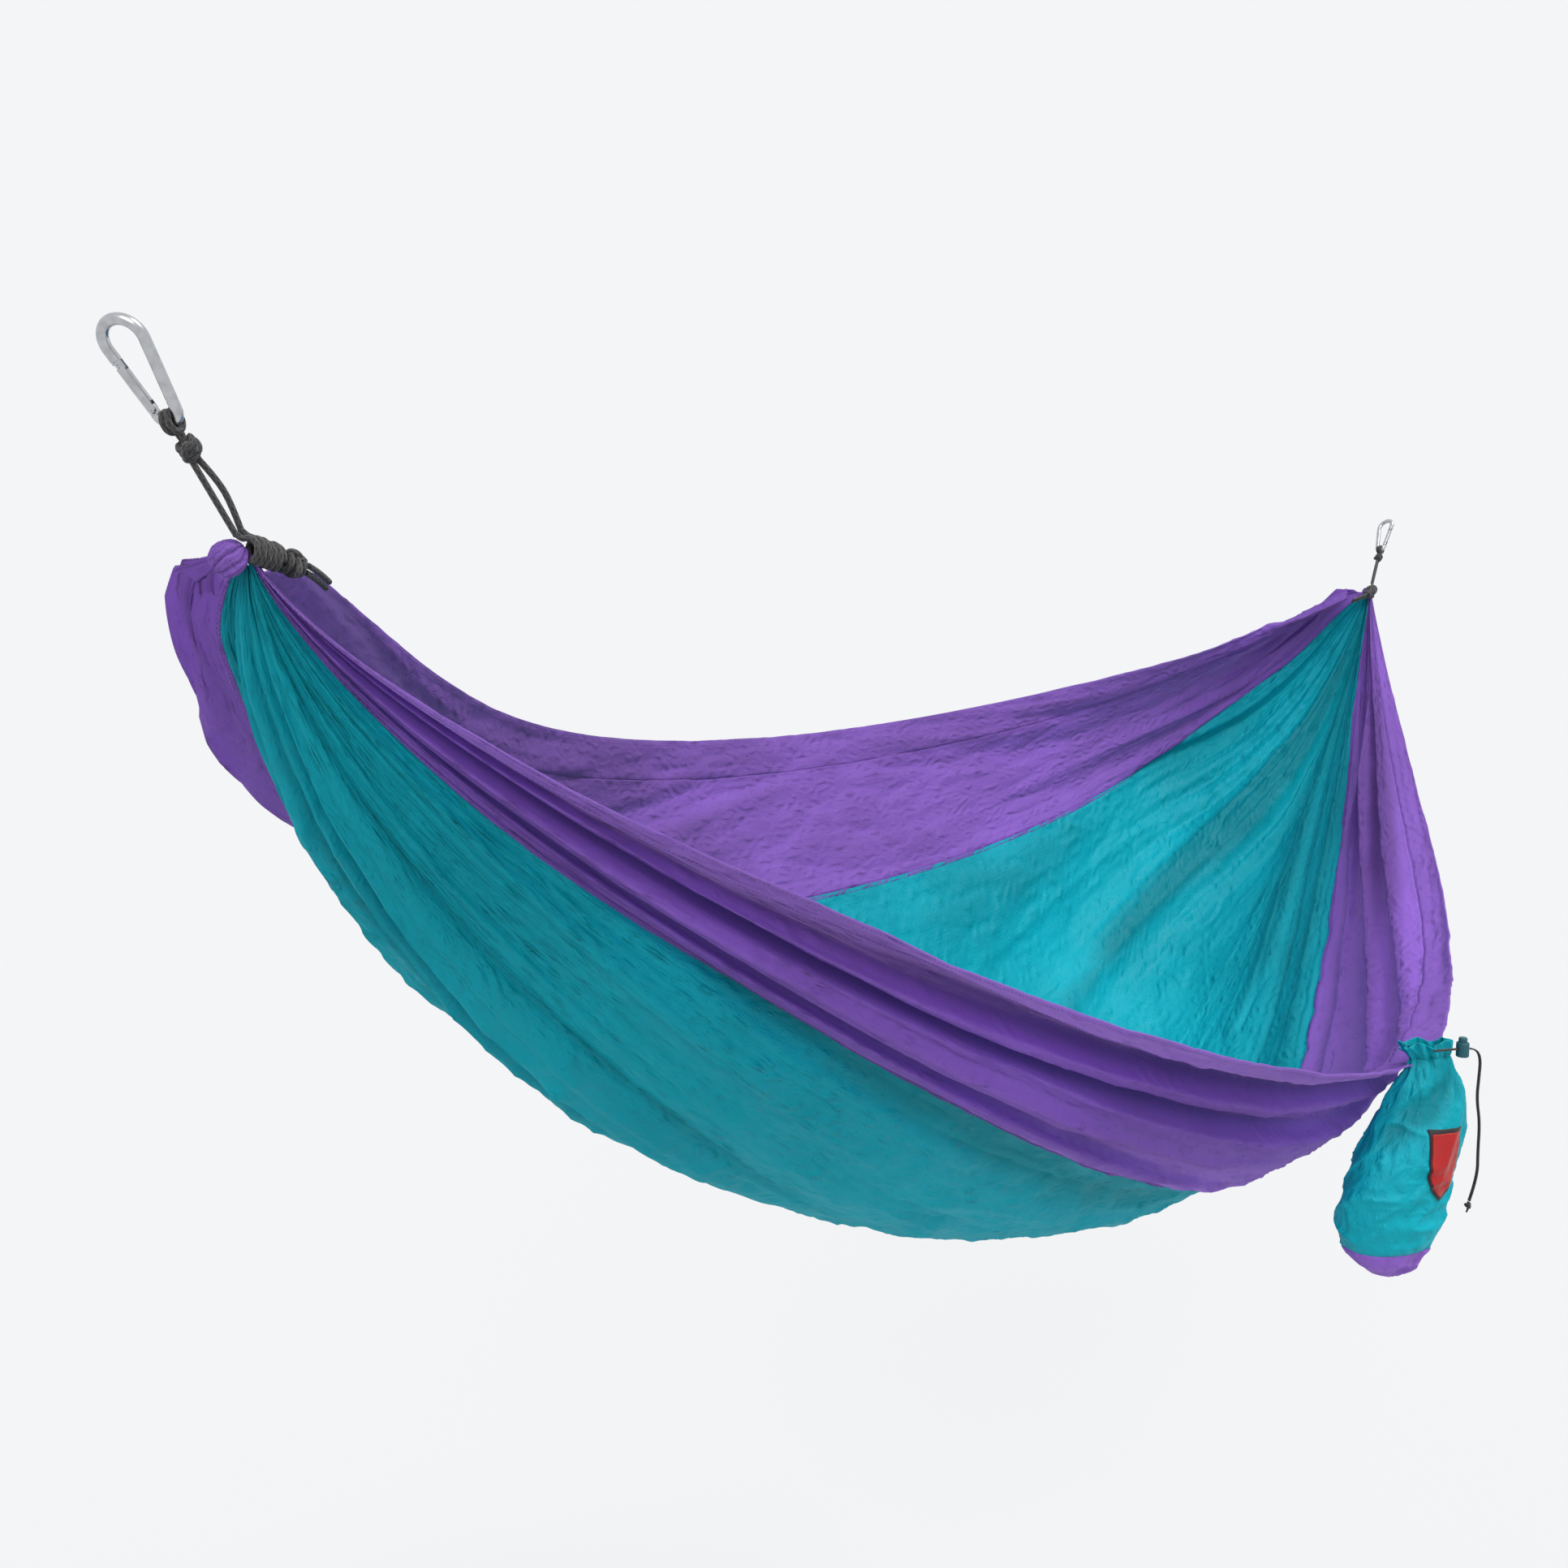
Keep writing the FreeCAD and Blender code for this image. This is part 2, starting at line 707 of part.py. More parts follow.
def lock_frame():
    """Local frame of the cord lock: Z up its plunger, X along the cord."""
    centre = sack_point(LOCK_ACROSS, LOCK_FRONT, LOCK_HEIGHT)
    return frame_placement(centre, SACK_ACROSS, Vector(0, 0, 1))


def cord_passage(extra_low=0.0):
    """Hole along local X that both strands pass through side by side."""
    cord = size("drawcord_diameter")
    width = 2 * (cord + STRAND_GAP + size("free_gap"))
    height = cord + 2 * size("free_gap")
    corner = Vector(-20, -width / 2, -height / 2 - extra_low)
    return Part.makeBox(40, width, height + extra_low, corner)


LOCK_FLOOR = 1.6
PLUNGER_STAND = 5.0
SPRING_WELL = 2.0
SPRING_WELL_RADIUS = 2.4
LOCK_SPRING_WIRE = 0.5
LOCK_SPRING_RADIUS = 1.9
LOCK_SPRING_TURNS = 3.5


def make_cord_lock():
    frame = lock_frame()
    radius, height = size("lock_radius"), size("lock_height")
    plunger, travel = size("plunger_radius"), size("plunger_travel")
    low = -height / 2 - 1.0
    barrel = Part.makeCylinder(radius, height, Vector(0, 0, low))
    rims = [edge for edge in barrel.Edges if edge.isClosed() and len(edge.Vertexes) == 1]
    barrel = barrel.makeFillet(1.6, rims)
    bore = Part.makeCylinder(plunger + 0.1, height, Vector(0, 0, low + LOCK_FLOOR))
    add_shape("cord_lock_body", barrel.cut([bore, cord_passage()]), frame)
    foot = low + LOCK_FLOOR + travel + 0.6
    stem = Part.makeCylinder(plunger, height / 2 + PLUNGER_STAND - foot, Vector(0, 0, foot))
    crown = [edge for edge in stem.Edges if edge.CenterOfMass.z > height / 2 and edge.isClosed()]
    stem = stem.makeFillet(1.4, crown)
    width = cord_passage().BoundBox.YLength
    upper_room = Part.makeBox(40, width, travel + 1.6, Vector(-20, -width / 2, 0))
    well = Part.makeCylinder(SPRING_WELL_RADIUS, SPRING_WELL, Vector(0, 0, foot))
    add_shape("cord_lock_plunger", stem.cut([cord_passage(0.3), upper_room, well]), frame)
    wire = LOCK_SPRING_WIRE
    bottom, top = low + LOCK_FLOOR + wire, foot + SPRING_WELL - wire
    helix = Part.makeHelix((top - bottom) / LOCK_SPRING_TURNS, top - bottom, LOCK_SPRING_RADIUS)
    heading = helix.Edges[0].tangentAt(helix.Edges[0].FirstParameter)
    circle = Part.Circle(Vector(LOCK_SPRING_RADIUS, 0, 0), heading, wire / 2).toShape()
    coil = helix.makePipeShell([Part.Wire(circle)], True, True)
    lift = Placement(Vector(0, 0, bottom), Rotation())
    add_shape("cord_lock_spring", coil, frame.multiply(lift))


# ---------------------------------------------------------------- build, check and export

make_bed()
for end in (End("near"), End("far")):
    make_hook(end)
    make_ropes(end)
    make_bunch(end)
make_sack()
doc.recompute()

for item in doc.Objects:
    if any(state in ("Invalid", "Error") for state in item.State):
        raise RuntimeError(f"{item.Label} did not recompute")
for item in nodes:
    if item.Shape.isNull() or not item.Shape.isValid() or not item.Shape.Solids:
        raise RuntimeError(f"{item.Label} has no valid solid")

os.makedirs("parts", exist_ok=True)
for item in nodes:
    item.Shape.exportStep(f"parts/{item.Label}.step")
print(f"{len(nodes)} sub-parts written")
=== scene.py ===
import json
import math

import bmesh
import bpy
import numpy as np
from mathutils import Matrix, Vector
from mathutils.bvhtree import BVHTree


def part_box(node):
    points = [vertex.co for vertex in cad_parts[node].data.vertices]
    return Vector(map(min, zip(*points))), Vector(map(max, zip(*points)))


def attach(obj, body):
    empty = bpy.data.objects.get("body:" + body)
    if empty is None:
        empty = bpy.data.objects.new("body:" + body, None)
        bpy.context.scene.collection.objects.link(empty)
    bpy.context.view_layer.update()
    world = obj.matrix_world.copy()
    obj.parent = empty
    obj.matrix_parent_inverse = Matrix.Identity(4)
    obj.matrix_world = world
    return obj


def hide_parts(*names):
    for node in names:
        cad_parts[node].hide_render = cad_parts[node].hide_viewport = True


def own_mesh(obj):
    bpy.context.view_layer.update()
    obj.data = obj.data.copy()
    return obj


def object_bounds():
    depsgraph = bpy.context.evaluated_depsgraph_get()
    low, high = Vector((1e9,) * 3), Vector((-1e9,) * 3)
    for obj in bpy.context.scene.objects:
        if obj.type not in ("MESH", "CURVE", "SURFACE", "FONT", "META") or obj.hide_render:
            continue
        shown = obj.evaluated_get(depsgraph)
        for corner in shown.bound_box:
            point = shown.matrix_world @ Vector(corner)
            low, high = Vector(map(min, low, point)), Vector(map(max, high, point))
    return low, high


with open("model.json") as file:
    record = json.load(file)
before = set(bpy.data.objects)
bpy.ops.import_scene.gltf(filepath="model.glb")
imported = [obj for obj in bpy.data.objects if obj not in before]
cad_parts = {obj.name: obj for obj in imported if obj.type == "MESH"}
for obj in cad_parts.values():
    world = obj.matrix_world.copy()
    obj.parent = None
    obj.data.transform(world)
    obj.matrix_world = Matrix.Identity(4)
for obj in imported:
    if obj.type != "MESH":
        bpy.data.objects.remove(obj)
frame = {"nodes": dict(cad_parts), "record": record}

# Camping hammock hung between two anchors. Metres, +Z up, the near anchor at the origin, +X to the
# far anchor, and the near edge of the bed, with its stuff sack, on -Y.

CAD_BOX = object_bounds()
NODES = frame["nodes"]
SPAN = 2.8
HANG = math.radians(57)
ROPE_RADIUS = 0.0023


# ---------------------------------------------------------------- camera, floor and light

def view_axes(azimuth, elevation):
    """Right, up and back of a level camera that looks down by the elevation."""
    a, e = math.radians(azimuth), math.radians(elevation)
    back = Vector((math.sin(a) * math.cos(e), -math.cos(a) * math.cos(e), math.sin(e)))
    right = Vector((math.cos(a), math.sin(a), 0))
    return right, back.cross(right), back


def make_camera():
    lens = bpy.data.cameras.new("camera")
    lens.lens, lens.sensor_width = 35, 36
    camera = bpy.data.objects.new("camera", lens)
    bpy.context.collection.objects.link(camera)
    right, up, back = view_axes(-52.8, 6.5)
    turn = Matrix((right, up, back)).transposed().to_4x4()
    camera.matrix_world = Matrix.Translation((-0.542, -0.951, -0.182)) @ turn
    bpy.context.scene.camera = camera


BACKDROP = (0.905, 0.915, 0.932)


def make_suns():
    """Two broad, high lights from the camera's side, one to its right and one to its left."""
    for name, power, width, source in (
        ("right_softbox", 2.1, 24, (0.22, -0.50, 0.83)),
        ("left_softbox", 1.7, 32, (-0.72, -0.46, 0.52)),
    ):
        data = bpy.data.lights.new(name, "SUN")
        data.energy, data.angle, data.color = power, math.radians(width), (1.0, 0.985, 0.96)
        lamp = bpy.data.objects.new(name, data)
        bpy.context.collection.objects.link(lamp)
        lamp.rotation_euler = Vector(source).to_track_quat("Z", "Y").to_euler()


def seen_only(tree, hidden, seen):
    """Shader that is one thing when seen, straight or mirrored, and another as a source of light."""
    swap = tree.nodes.new("ShaderNodeMixShader")
    path = tree.nodes.new("ShaderNodeLightPath")
    either = tree.nodes.new("ShaderNodeMath")
    either.operation = "MAXIMUM"
    tree.links.new(path.outputs["Is Camera Ray"], either.inputs[0])
    tree.links.new(path.outputs["Is Glossy Ray"], either.inputs[1])
    tree.links.new(either.outputs[0], swap.inputs[0])
    tree.links.new(hidden, swap.inputs[1])
    tree.links.new(seen, swap.inputs[2])
    return swap.outputs[0]


def make_floor():
    """A pale floor, which throws less light back up than it shows."""
    floor = bpy.data.objects.new("floor", bpy.data.meshes.new("floor"))
    mesh = bmesh.new()
    bmesh.ops.create_circle(mesh, cap_ends=True, segments=96, radius=90)
    mesh.to_mesh(floor.data)
    mesh.free()
    bpy.context.collection.objects.link(floor)
    floor.location = (SPAN / 2, 0, CAD_BOX[0][2] - 1.5)
    pale = bpy.data.materials.new("pale_floor")
    pale.use_nodes = True
    tree = pale.node_tree
    shader = tree.nodes["Principled BSDF"]
    shader.inputs["Base Color"].default_value = (0.19, 0.19, 0.19, 1)
    shader.inputs["Roughness"].default_value = 1.0
    shader.inputs["Specular IOR Level"].default_value = 0.0
    shader.inputs["Emission Color"].default_value = (*BACKDROP, 1)
    shader.inputs["Emission Strength"].default_value = 0.72
    dim = tree.nodes.new("ShaderNodeBsdfDiffuse")
    dim.inputs["Color"].default_value = (0.46, 0.47, 0.48, 1)
    tree.links.new(seen_only(tree, dim.outputs[0], shader.outputs[0]),
                   tree.nodes["Material Output"].inputs["Surface"])
    floor.data.materials.append(pale)


def make_world():
    """Even backdrop; the light it gives is stronger from above than from the sides."""
    world = bpy.data.worlds.new("studio")
    world.use_nodes = True
    nodes, links = world.node_tree.nodes, world.node_tree.links
    backdrop = nodes["Background"]
    backdrop.inputs["Color"].default_value = (*BACKDROP, 1)
    glow = nodes.new("ShaderNodeBackground")
    height = nodes.new("ShaderNodeSeparateXYZ")
    links.new(nodes.new("ShaderNodeTexCoord").outputs["Generated"], height.inputs[0])
    level = nodes.new("ShaderNodeMapRange")
    for index, value in ((1, -0.1), (2, 0.9), (3, 0.12), (4, 0.66)):
        level.inputs[index].default_value = value
    links.new(height.outputs["Z"], level.inputs[0])
    links.new(level.outputs[0], glow.inputs["Strength"])
    glow.inputs["Color"].default_value = (0.95, 0.97, 1.0, 1)
    links.new(seen_only(world.node_tree, glow.outputs[0], backdrop.outputs[0]),
              nodes["World Output"].inputs["Surface"])
    bpy.context.scene.world = world
    bpy.context.scene.view_settings.view_transform = "Standard"


def make_stage():
    make_suns()
    make_floor()
    make_world()


# ---------------------------------------------------------------- materials

class Paint:
    """One material: adds nodes to its tree and links what they are given."""

    def __init__(self, name, **sockets):
        self.material = bpy.data.materials.new(name)
        self.material.use_nodes = True
        self.tree = self.material.node_tree
        self.shader = self.tree.nodes["Principled BSDF"]
        for socket, value in sockets.items():
            self.shader.inputs[socket.replace("_", " ")].default_value = value

    def node(self, kind, inputs=(), **settings):
        made = self.tree.nodes.new(kind)
        for name, value in settings.items():
            setattr(made, name, value)
        for key, value in dict(inputs).items():
            self.feed(made.inputs[key], value)
        return made

    def feed(self, socket, value):
        if isinstance(value, bpy.types.NodeSocket):
            self.tree.links.new(value, socket)
        else:
            socket.default_value = value

    def math(self, operation, a, b=0.0, c=0.0):
        return self.node("ShaderNodeMath", {0: a, 1: b, 2: c}, operation=operation).outputs[0]

    def noise(self, where, scale, detail=3.0, kind="FBM", rough=0.55):
        made = self.node("ShaderNodeTexNoise", {"Vector": where, "Scale": scale, "Detail": detail,
                                                "Roughness": rough}, noise_type=kind)
        return made.outputs[0]

    def stretch(self, where, scale):
        return self.node("ShaderNodeMapping", {"Vector": where, "Scale": scale}).outputs[0]

    def between(self, value, low, high, start=0.0, end=1.0):
        return self.node("ShaderNodeMapRange", {0: value, 1: low, 2: high, 3: start, 4: end}).outputs[0]

    def mix(self, share, a, b, blend="MIX"):
        made = self.node("ShaderNodeMix", data_type="RGBA", blend_type=blend)
        for index, value in ((0, share), (6, a), (7, b)):
            self.feed(made.inputs[index], value)
        return made.outputs[2]

    def bump(self, height, distance, strength=1.0, below=None):
        made = self.node("ShaderNodeBump", {"Height": height, "Distance": distance, "Strength": strength})
        if below is not None:
            self.feed(made.inputs["Normal"], below)
        return made.outputs[0]

    def finish(self, color=None, roughness=None, normal=None, glow=0.0):
        """Close the tree; glow is the share of light that passes through the surface."""
        for name, value in (("Base Color", color), ("Roughness", roughness), ("Normal", normal)):
            if value is not None:
                self.feed(self.shader.inputs[name], value)
        if glow:
            # light crosses both faces of the cloth, so the tint of each is light
            tint = self.node("ShaderNodeGamma", {0: color, 1: 0.3}).outputs[0]
            through = self.node("ShaderNodeBsdfTranslucent", {"Color": tint, "Normal": normal})
            both = self.node("ShaderNodeMixShader", {0: glow, 1: self.shader.outputs[0], 2: through.outputs[0]})
            self.feed(self.tree.nodes["Material Output"].inputs["Surface"], both.outputs[0])
        return self.material


def shade(color, factor):
    return (*(min(channel * factor, 1) for channel in color), 1)


def cloth_paint(name, color, sheen=0.3, weave_pitch=0.0011, glow=0.48):
    """Light plain-weave cloth that has been packed small: fine weave, crumple lines, soft sheen."""
    paint = Paint(name, Sheen_Weight=sheen, Sheen_Roughness=0.45, Specular_IOR_Level=0.22,
                  Sheen_Tint=shade(color, 2.0))
    flat = paint.node("ShaderNodeTexCoord").outputs["UV"]
    solid = paint.node("ShaderNodeTexCoord").outputs["Object"]
    # crease: how deep in a fold each point lies, used below for painted shade
    crease = paint.node("ShaderNodeAttribute", attribute_name="crease").outputs["Fac"]
    weave = []
    for direction in ("X", "Y"):
        weave.append(paint.node("ShaderNodeTexWave", {"Vector": flat, "Scale": 0.5 / weave_pitch / math.pi},
                                wave_type="BANDS", bands_direction=direction).outputs["Fac"])
    threads = paint.math("MULTIPLY", weave[0], weave[1])
    crumple = paint.noise(paint.stretch(flat, (38, 60, 1)), 1.0, 4.0, "RIDGED_MULTIFRACTAL", 0.5)
    fine = paint.noise(paint.stretch(flat, (150, 240, 1)), 1.0, 3.0, "RIDGED_MULTIFRACTAL", 0.5)
    cloud = paint.noise(solid, 3.5, 2.0)
    tone = paint.mix(paint.between(cloud, 0.3, 0.7), shade(color, 0.86), shade(color, 1.1))
    # painted highlight: the crests of the crumple lines are lightened towards half again the colour
    tone = paint.mix(paint.between(crumple, 0.6, 1.6, 0, 0.30), tone, shade(color, 1.5))
    # painted shade: the gaps between the threads are darkened a little
    tone = paint.mix(paint.between(threads, 0, 1, 0.10, 0), tone, shade(color, 0.5))
    # painted shade: the colour darkens towards a third of itself where crease is high, in the valleys of the folds
    tone = paint.mix(paint.between(crease, 0, 1, 0, 0.6), tone, shade(color, 0.35))
    normal = paint.bump(threads, 0.00015, 0.5)
    normal = paint.bump(fine, 0.0014, 1.0, normal)
    normal = paint.bump(crumple, 0.0060, 1.0, normal)
    rough = paint.between(paint.noise(solid, 22, 2.0), 0.3, 0.7, 0.50, 0.66)
    return paint.finish(tone, rough, normal, glow)


def rope_paint(name, color, strands=5, slant=2.2):
    """Braided cord: two sets of strands that cross over each other."""
    paint = Paint(name, Sheen_Weight=0.25, Sheen_Roughness=0.5, Specular_IOR_Level=0.3)
    flat = paint.node("ShaderNodeTexCoord").outputs["UV"]
    split = paint.node("ShaderNodeSeparateXYZ", {0: flat})
    sets = []
    for sign in (1, -1):
        turn = paint.math("MULTIPLY_ADD", split.outputs[0], slant * sign, 0.0)
        turn = paint.math("ADD", turn, paint.math("MULTIPLY", split.outputs[1], float(strands)))
        sets.append(paint.math("SINE", paint.math("MULTIPLY", turn, 2 * math.pi)))
    relief = paint.math("MAXIMUM", sets[0], sets[1])
    fuzz = paint.noise(paint.stretch(flat, (60, 90, 1)), 1.0, 3.0)
    # painted shade and highlight: the grooves between the strands are darkened and their crests lightened, following
    # the braid's relief
    tone = paint.mix(paint.between(relief, 0, 1), shade(color, 0.45), shade(color, 1.5))
    tone = paint.mix(paint.between(fuzz, 0.35, 0.75, 0, 0.5), tone, shade(color, 2.4))
    normal = paint.bump(fuzz, 0.0001, 0.5)
    normal = paint.bump(relief, 0.0004, 0.9, normal)
    return paint.finish(tone, 0.72, normal)


def metal_paint(name, color, rough, scale=900.0):
    """Plated steel wire with faint drawing lines, small scratches and dulled patches."""
    paint = Paint(name, Metallic=1.0)
    where = paint.node("ShaderNodeTexCoord").outputs["Object"]
    patches = paint.noise(where, 160, 3.0)
    lines = paint.noise(paint.stretch(where, (scale, scale, scale * 0.12)), 1.0, 2.0)
    tone = paint.mix(paint.between(patches, 0.4, 0.7), shade(color, 1.0), shade(color, 0.78))
    roughness = paint.between(patches, 0.35, 0.7, rough, rough + 0.14)
    return paint.finish(tone, roughness, paint.bump(lines, 0.00003, 0.12))


def plastic_paint(name, color):
    """Moulded plastic with a fine spark-eroded grain."""
    paint = Paint(name, Specular_IOR_Level=0.45)
    where = paint.node("ShaderNodeTexCoord").outputs["Object"]
    grain = paint.noise(where, 2200, 2.0)
    wear = paint.noise(where, 240, 3.0)
    tone = paint.mix(paint.between(wear, 0.45, 0.7), shade(color, 1.0), shade(color, 1.35))
    return paint.finish(tone, paint.between(wear, 0.3, 0.7, 0.38, 0.55), paint.bump(grain, 0.00006, 0.4))


def patch_paint(name, color):
    """Close embroidery: raised rows of thread."""
    paint = Paint(name, Sheen_Weight=0.2, Sheen_Roughness=0.5, Specular_IOR_Level=0.3)
    flat = paint.node("ShaderNodeTexCoord").outputs["UV"]
    rows = paint.node("ShaderNodeTexWave", {"Vector": flat, "Scale": 260.0, "Distortion": 1.2, "Detail": 2.0},
                      wave_type="BANDS", bands_direction="DIAGONAL").outputs["Fac"]
    # painted shade and highlight: the thread rows are darker in their grooves and lighter on their tops, following
    # their relief
    tone = paint.mix(rows, shade(color, 0.72), shade(color, 1.12))
    return paint.finish(tone, 0.62, paint.bump(rows, 0.00025, 0.8))


TEAL = (0.001, 0.400, 0.500)
PURPLE = (0.300, 0.135, 0.640)
MATERIALS = {
    "teal_cloth": cloth_paint("teal_cloth", TEAL, glow=0.30),
    "purple_cloth": cloth_paint("purple_cloth", PURPLE),
    # the hem and channel cloth are the panels' purple a little darker: painted shade of the doubled and gathered cloth
    "hem_cloth": cloth_paint("hem_cloth", shade(PURPLE, 0.96)[:3]),
    "channel_cloth": cloth_paint("channel_cloth", shade(PURPLE, 0.9)[:3]),
    "sack_cloth": cloth_paint("sack_cloth", TEAL, glow=0.15),
    "sack_base_cloth": cloth_paint("sack_base_cloth", PURPLE, glow=0.15),
    "rope": rope_paint("rope", (0.035, 0.034, 0.036)),
    "drawcord": rope_paint("drawcord", (0.022, 0.015, 0.016)),
    "steel": metal_paint("steel", (0.50, 0.51, 0.53), 0.20),
    "pin_steel": metal_paint("pin_steel", (0.50, 0.51, 0.54), 0.28),
    "spring_steel": metal_paint("spring_steel", (0.42, 0.43, 0.46), 0.30),
    "lock_plastic": plastic_paint("lock_plastic", (0.006, 0.072, 0.095)),
    "patch": patch_paint("patch", (0.40, 0.006, 0.006)),
}
DARK_THREAD = patch_paint("patch_border", (0.012, 0.008, 0.010))
PURPLE_THREAD = patch_paint("purple_thread", shade(PURPLE, 0.8)[:3])


# ---------------------------------------------------------------- mesh helpers

def new_object(name, mesh, paint):
    made = bpy.data.objects.new(name, mesh)
    bpy.context.collection.objects.link(made)
    mesh.materials.append(paint if isinstance(paint, bpy.types.Material) else MATERIALS[paint])
    mesh.shade_smooth()
    return made


def place_piece(piece, body, nodes=()):
    if nodes:
        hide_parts(*nodes)
    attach(piece, body)
    return piece


def grid_mesh(name, points, paint, flat=None, crease=None, wrap=False):
    """Sheet through a grid of points, with its flat coordinates as UVs, in metres."""
    rows, cols = points.shape[:2]
    index = np.arange(rows * cols).reshape(rows, cols)
    if wrap:
        index = np.concatenate([index, index[:, :1]], axis=1)
    quads = np.stack([index[:-1, :-1], index[:-1, 1:], index[1:, 1:], index[1:, :-1]], -1).reshape(-1, 4)
    mesh = bpy.data.meshes.new(name)
    mesh.from_pydata(points.reshape(-1, 3).tolist(), [], quads.tolist())
    if flat is not None:
        if wrap:
            quad_u = np.concatenate([flat, flat[:, :1] + [[[0, flat[0, -1, 1] * cols / (cols - 1)]]]], axis=1)
        else:
            quad_u = flat
        corner = [quad_u[:-1, :-1], quad_u[:-1, 1:], quad_u[1:, 1:], quad_u[1:, :-1]]
        layer = mesh.uv_layers.new(name="flat")
        layer.data.foreach_set("uv", np.stack(corner, 2).reshape(-1).astype(np.float32))
    # crease holds how deep in a fold each point lies; the cloth paint darkens the colour there as painted shade
    if crease is not None:
        mesh.attributes.new("crease", "FLOAT", "POINT").data.foreach_set(
            "value", np.clip(crease, 0, 1).reshape(-1).astype(np.float32))
    return new_object(name, mesh, paint)


def apply_modifiers(piece):
    bpy.context.view_layer.update()
    shown = piece.evaluated_get(bpy.context.evaluated_depsgraph_get())
    mesh = bpy.data.meshes.new_from_object(shown)
    piece.modifiers.clear()
    old, piece.data = piece.data, mesh
    bpy.data.meshes.remove(old)
    return piece


def thicken(piece, thickness, offset=0.0):
    solid = piece.modifiers.new("thickness", "SOLIDIFY")
    solid.thickness, solid.offset, solid.use_even_offset = thickness, offset, False
    return apply_modifiers(piece)


def resample(line, step):
    """The same line with evenly spaced points."""
    line = np.asarray(line, float)
    reach = np.concatenate([[0], np.cumsum(np.linalg.norm(np.diff(line, axis=0), axis=1))])
    count = max(int(round(reach[-1] / step)), 4) + 1
    even = np.linspace(0, reach[-1], count)
    return np.stack([np.interp(even, reach, line[:, axis]) for axis in range(3)], -1)


def nurbs_line(points, step):
    """Evenly spaced points along the NURBS spline whose control points are given."""
    data = bpy.data.curves.new("route", "CURVE")
    data.dimensions = "3D"
    spline = data.splines.new("NURBS")
    spline.points.add(len(points) - 1)
    for control, place in zip(spline.points, points):
        control.co = (*place, 1)
    spline.order_u = 3
    spline.use_endpoint_u = True
    spline.resolution_u = 16
    holder = bpy.data.objects.new("route", data)
    bpy.context.collection.objects.link(holder)
    bpy.context.view_layer.update()
    mesh = bpy.data.meshes.new_from_object(holder.evaluated_get(bpy.context.evaluated_depsgraph_get()))
    line = np.array([vertex.co[:] for vertex in mesh.vertices])
    bpy.data.objects.remove(holder)
    bpy.data.curves.remove(data)
    bpy.data.meshes.remove(mesh)
    return resample(line, step)


def tube(name, line, radius, paint, around=16, closed=False, taper=None):
    """Round tube along a line, with its length and turn as UVs, and its open ends closed."""
    count = len(line)
    if closed:
        heading = np.roll(line, -1, axis=0) - np.roll(line, 1, axis=0)
    else:
        heading = np.gradient(line, axis=0)
    heading /= np.linalg.norm(heading, axis=1)[:, None]
    side = np.cross(heading[0], [0.13, 0.31, 0.94])
    sides = []
    for direction in heading:
        side = side - direction * np.dot(side, direction)
        side /= np.linalg.norm(side)
        sides.append(side)
    sides = np.array(sides)
    other = np.cross(heading, sides)
    if closed:
        slip = math.atan2(np.dot(sides[-1], other[0]), np.dot(sides[-1], sides[0]))
        turn = -slip * np.arange(count) / count
        sides, other = (sides * np.cos(turn)[:, None] + other * np.sin(turn)[:, None],
                        other * np.cos(turn)[:, None] - sides * np.sin(turn)[:, None])
    angle = np.linspace(0, 2 * np.pi, around, endpoint=False)
    width = np.full(count, radius) if taper is None else radius * taper(np.linspace(0, 1, count))
    rings = (line[:, None] + sides[:, None] * (np.cos(angle)[None, :, None] * width[:, None, None])
             + other[:, None] * (np.sin(angle)[None, :, None] * width[:, None, None]))
    step = float(np.linalg.norm(np.diff(line, axis=0), axis=1).mean())
    along = np.arange(count) * step / (2 * np.pi * radius)
    flat = np.stack(np.broadcast_arrays(along[:, None], angle[None] / (2 * np.pi)), -1)
    if closed:
        rings = np.concatenate([rings, rings[:1]])
        flat = np.concatenate([flat, flat[-1:] + [[[step / (2 * np.pi * radius), 0]]]])
    piece = grid_mesh(name, rings, paint, flat, wrap=True)
    shape = bmesh.new()
    shape.from_mesh(piece.data)
    if closed:
        bmesh.ops.remove_doubles(shape, verts=shape.verts, dist=1e-6)
    else:
        bmesh.ops.holes_fill(shape, edges=[edge for edge in shape.edges if edge.is_boundary], sides=0)
    bmesh.ops.recalc_face_normals(shape, faces=shape.faces)
    shape.to_mesh(piece.data)
    shape.free()
    piece.data.shade_smooth()
    return piece


def join(name, pieces):
    """One piece made of several."""
    first = pieces[0]
    with bpy.context.temp_override(active_object=first, object=first, selected_editable_objects=pieces):
        bpy.ops.object.join()
    first.name = name
    first.data.name = name
    return first


def smooth_noise(x, y, seed):
    """Value noise of two coordinates, from about -1 to 1."""
    table = np.random.default_rng(seed).uniform(-1, 1, (256, 256))
    low_x, low_y = np.floor(x).astype(int), np.floor(y).astype(int)
    part_x, part_y = x - low_x, y - low_y
    part_x, part_y = (part * part * (3 - 2 * part) for part in (part_x, part_y))
    total = 0
    for step_x, share_x in ((0, 1 - part_x), (1, part_x)):
        for step_y, share_y in ((0, 1 - part_y), (1, part_y)):
            total = total + table[(low_x + step_x) % 256, (low_y + step_y) % 256] * share_x * share_y
    return total


def crumple(x, y, seed):
    """Ridged noise, 0 in the flats and 1 on the sharp crests of small creases."""
    bent_x = x + 0.6 * smooth_noise(x * 0.7 + 11, y * 0.7, seed + 1)
    bent_y = y + 0.6 * smooth_noise(x * 0.7, y * 0.7 + 23, seed + 2)
    return (1 - np.abs(smooth_noise(bent_x, bent_y, seed))) ** 3


# ---------------------------------------------------------------- bed

DOWN_ROPE = np.array([math.cos(HANG), 0, -math.sin(HANG)])
NEAR_GATHER = DOWN_ROPE * 0.166
FAR_GATHER_X = SPAN - NEAR_GATHER[0]
